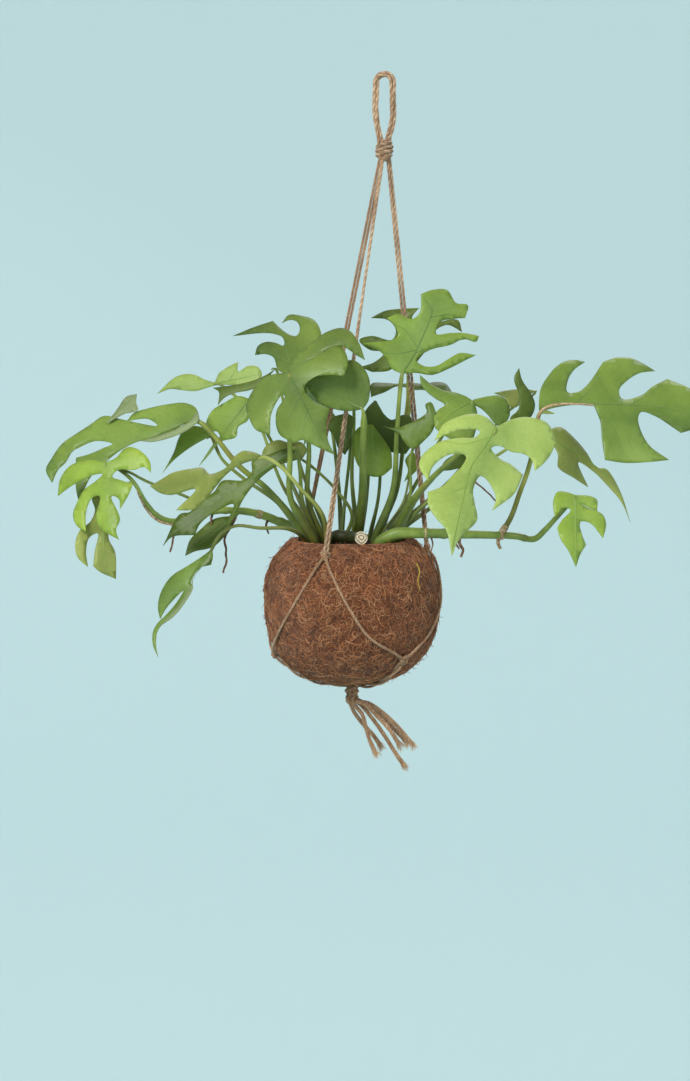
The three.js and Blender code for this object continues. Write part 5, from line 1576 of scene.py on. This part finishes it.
def fibre(low, high, radius):
    """A short, curly fibre on the ball. A few stand off it, and a few lie across the rim."""
    length = felt.uniform(low, high) * MM
    heading, turn = felt.uniform(0, 2 * math.pi), felt.uniform(-4.6, 4.6)
    azimuth = felt.uniform(0, 360)
    s = 1 - math.sqrt(felt.random()) * 0.99 if felt.random() < 0.3 else felt.uniform(0.0, 0.97)
    height = felt.uniform(-0.2, 0.8) * MM
    lift = felt.uniform(0, 4.5) * MM if felt.random() < 0.05 else felt.uniform(-0.4, 0.5) * MM
    on_rim = felt.random() < 0.05
    reach = felt.uniform(RIM_INNER, ball_line[0].x)
    points = []
    for i in range(FIBRE_PARTS + 1):
        lifted = height + lift * (i / FIBRE_PARTS) ** 2
        held = min(0.998, max(0.0, s))
        if on_rim:
            angle = math.radians(azimuth)
            points.append(Vector((BALL_X + reach * math.sin(angle), -reach * math.cos(angle),
                                  RIM_Z - 0.4 * MM + abs(lifted))))
        else:
            points.append(on_ball(azimuth, held, lump(on_ball(azimuth, held, 0)) + lifted))
        heading += turn / FIBRE_PARTS
        step = length / FIBRE_PARTS
        s += math.sin(heading) * step / BALL_RUN
        reach = min(ball_line[0].x, max(RIM_INNER, reach + math.sin(heading) * step))
        azimuth += math.degrees(math.cos(heading) * step / max(8 * MM, -on_ball(0, held, 0).y))
    thick = radius * felt.uniform(0.7, 1.5) * MM
    return points, [thick] * FIBRE_PARTS + [thick / 2], 0


for name, (count, reach, radius) in FIBRES.items():
    lines = [fibre(*reach, radius) for _ in range(count)]
    tubes("coir_fibres_" + name, lines, [COIR_FIBRES[name]], sides=3)

# %% [markdown]
# Dark potting soil fills the ball to just under the rim. Its top is a disc that noise makes
# uneven, and crumbs of four sizes lie on it, spread evenly between and under the stalks.

# %% Soil
def soil_finish():
    """Nearly black, with brown grains."""
    material, tree, shader = finish_named("soil", 0.95, specular=0.2)
    crumbs = ramp(tree, speckle(tree, 500, 6), [(0.3, (0.010, 0.007, 0.005)),
                                                (0.55, (0.035, 0.022, 0.014)),
                                                (0.75, (0.09, 0.055, 0.032))])
    tree.links.new(crumbs, shader.inputs["Base Color"])
    raised(tree, shader, speckle(tree, 800, 6), 1.0, 1.2 * MM)
    return material


SOIL = soil_finish()
CRUMBS, CRUMB_SIZES, CRUMB_REACH = 420, [0.7, 1.0, 1.5, 2.2], 45 * MM


def soil_top():
    """An uneven disc of soil, inset ring by ring, with crumbs on it."""
    made = bmesh.new()
    bmesh.ops.create_circle(made, cap_ends=True, segments=72, radius=50 * MM)
    ring = list(made.faces)
    for _ in range(14):
        bmesh.ops.inset_region(made, faces=ring, thickness=3.3 * MM, depth=0)
    bmesh.ops.triangulate(made, faces=[f for f in made.faces if len(f.verts) > 4])
    bmesh.ops.translate(made, vec=(BALL_X, 0, SOIL_Z), verts=made.verts)
    for v in made.verts:
        v.co.z += (noise.noise(v.co * 60) * 1.6 + noise.noise(v.co * 240) * 0.9) * MM
    for _ in range(CRUMBS):
        angle, reach = felt.uniform(0, 2 * math.pi), CRUMB_REACH * math.sqrt(felt.random())
        size = felt.choice(CRUMB_SIZES) * MM
        place = Vector((BALL_X + reach * math.cos(angle), reach * math.sin(angle),
                        SOIL_Z + size * 0.6))
        turn = Euler([felt.uniform(0, 6) for _ in range(3)]).to_matrix().to_4x4()
        stretch = Matrix.Diagonal((size, size * felt.uniform(0.6, 1),
                                   size * felt.uniform(0.5, 0.9), 1))
        bmesh.ops.create_icosphere(made, subdivisions=1, radius=1,
                                   matrix=Matrix.Translation(place) @ turn @ stretch)
    return placed("soil_top", as_mesh("soil_top", made), [SOIL])


soil_top()
nodes["soil"].data.materials.clear()
nodes["soil"].data.materials.append(SOIL)

# %% [markdown]
# The plant hangs in a plain, pale blue-green room. Its floor turns up into a round wall, so
# that no edge of it shows from any side or from above. A large soft light from the upper left,
# a weaker one from the right and one from behind keep the shadows soft.

# %% Floor and light
ROOM_FLOOR, ROOM_TOP, ROOM_RADIUS = -2.3, 3.2, 4.2
COVE = 0.9
PLANT_MIDDLE = Vector((-0.03, 0, -0.42))
wall, _, paint = finish_named("pale_wall", 0.95, specular=0.1)
paint.inputs["Base Color"].default_value = (0.668, 0.790, 0.802, 1)


def round_room():
    """A round floor that turns up into a wall in one soft curve, on every side."""
    profile = [Vector((0, 0, ROOM_FLOOR)), Vector((ROOM_RADIUS - COVE, 0, ROOM_FLOOR))]
    for i in range(1, 12):
        a = math.pi / 2 * i / 12
        profile.append(Vector((ROOM_RADIUS - COVE + COVE * math.sin(a), 0,
                               ROOM_FLOOR + COVE * (1 - math.cos(a)))))
    profile += [Vector((ROOM_RADIUS, 0, z)) for z in (ROOM_FLOOR + COVE, ROOM_TOP)]
    made = spun(profile, 64, MM)
    bmesh.ops.reverse_faces(made, faces=made.faces)
    mesh = as_mesh("floor", made)
    for face in mesh.polygons:
        face.use_smooth = True
    mesh.materials.append(wall)
    floor = bpy.data.objects.new("floor", mesh)
    bpy.context.collection.objects.link(floor)


def area_light(name, place, size, power):
    """A square light that faces the middle of the plant. power is in watts."""
    lamp = bpy.data.lights.new(name, "AREA")
    lamp.size = size
    lamp.energy = power
    light = bpy.data.objects.new(name, lamp)
    bpy.context.collection.objects.link(light)
    light.location = place
    light.rotation_euler = (PLANT_MIDDLE - light.location).to_track_quat("-Z", "Y").to_euler()


round_room()
area_light("key", (-1.5, -2.5, 1.5), 1.2, 118)
area_light("fill", (2.3, -2.2, 0.3), 2.0, 27)
area_light("rear", (0.8, 2.4, 1.6), 2.0, 44)
world = bpy.data.worlds.new("room")
bpy.context.scene.world = world
world.use_nodes = True
sky = world.node_tree.nodes["Background"]
sky.inputs["Color"].default_value = (1.0, 0.99, 0.97, 1)
sky.inputs["Strength"].default_value = 0.44
bpy.context.scene.view_settings.view_transform = "Standard"
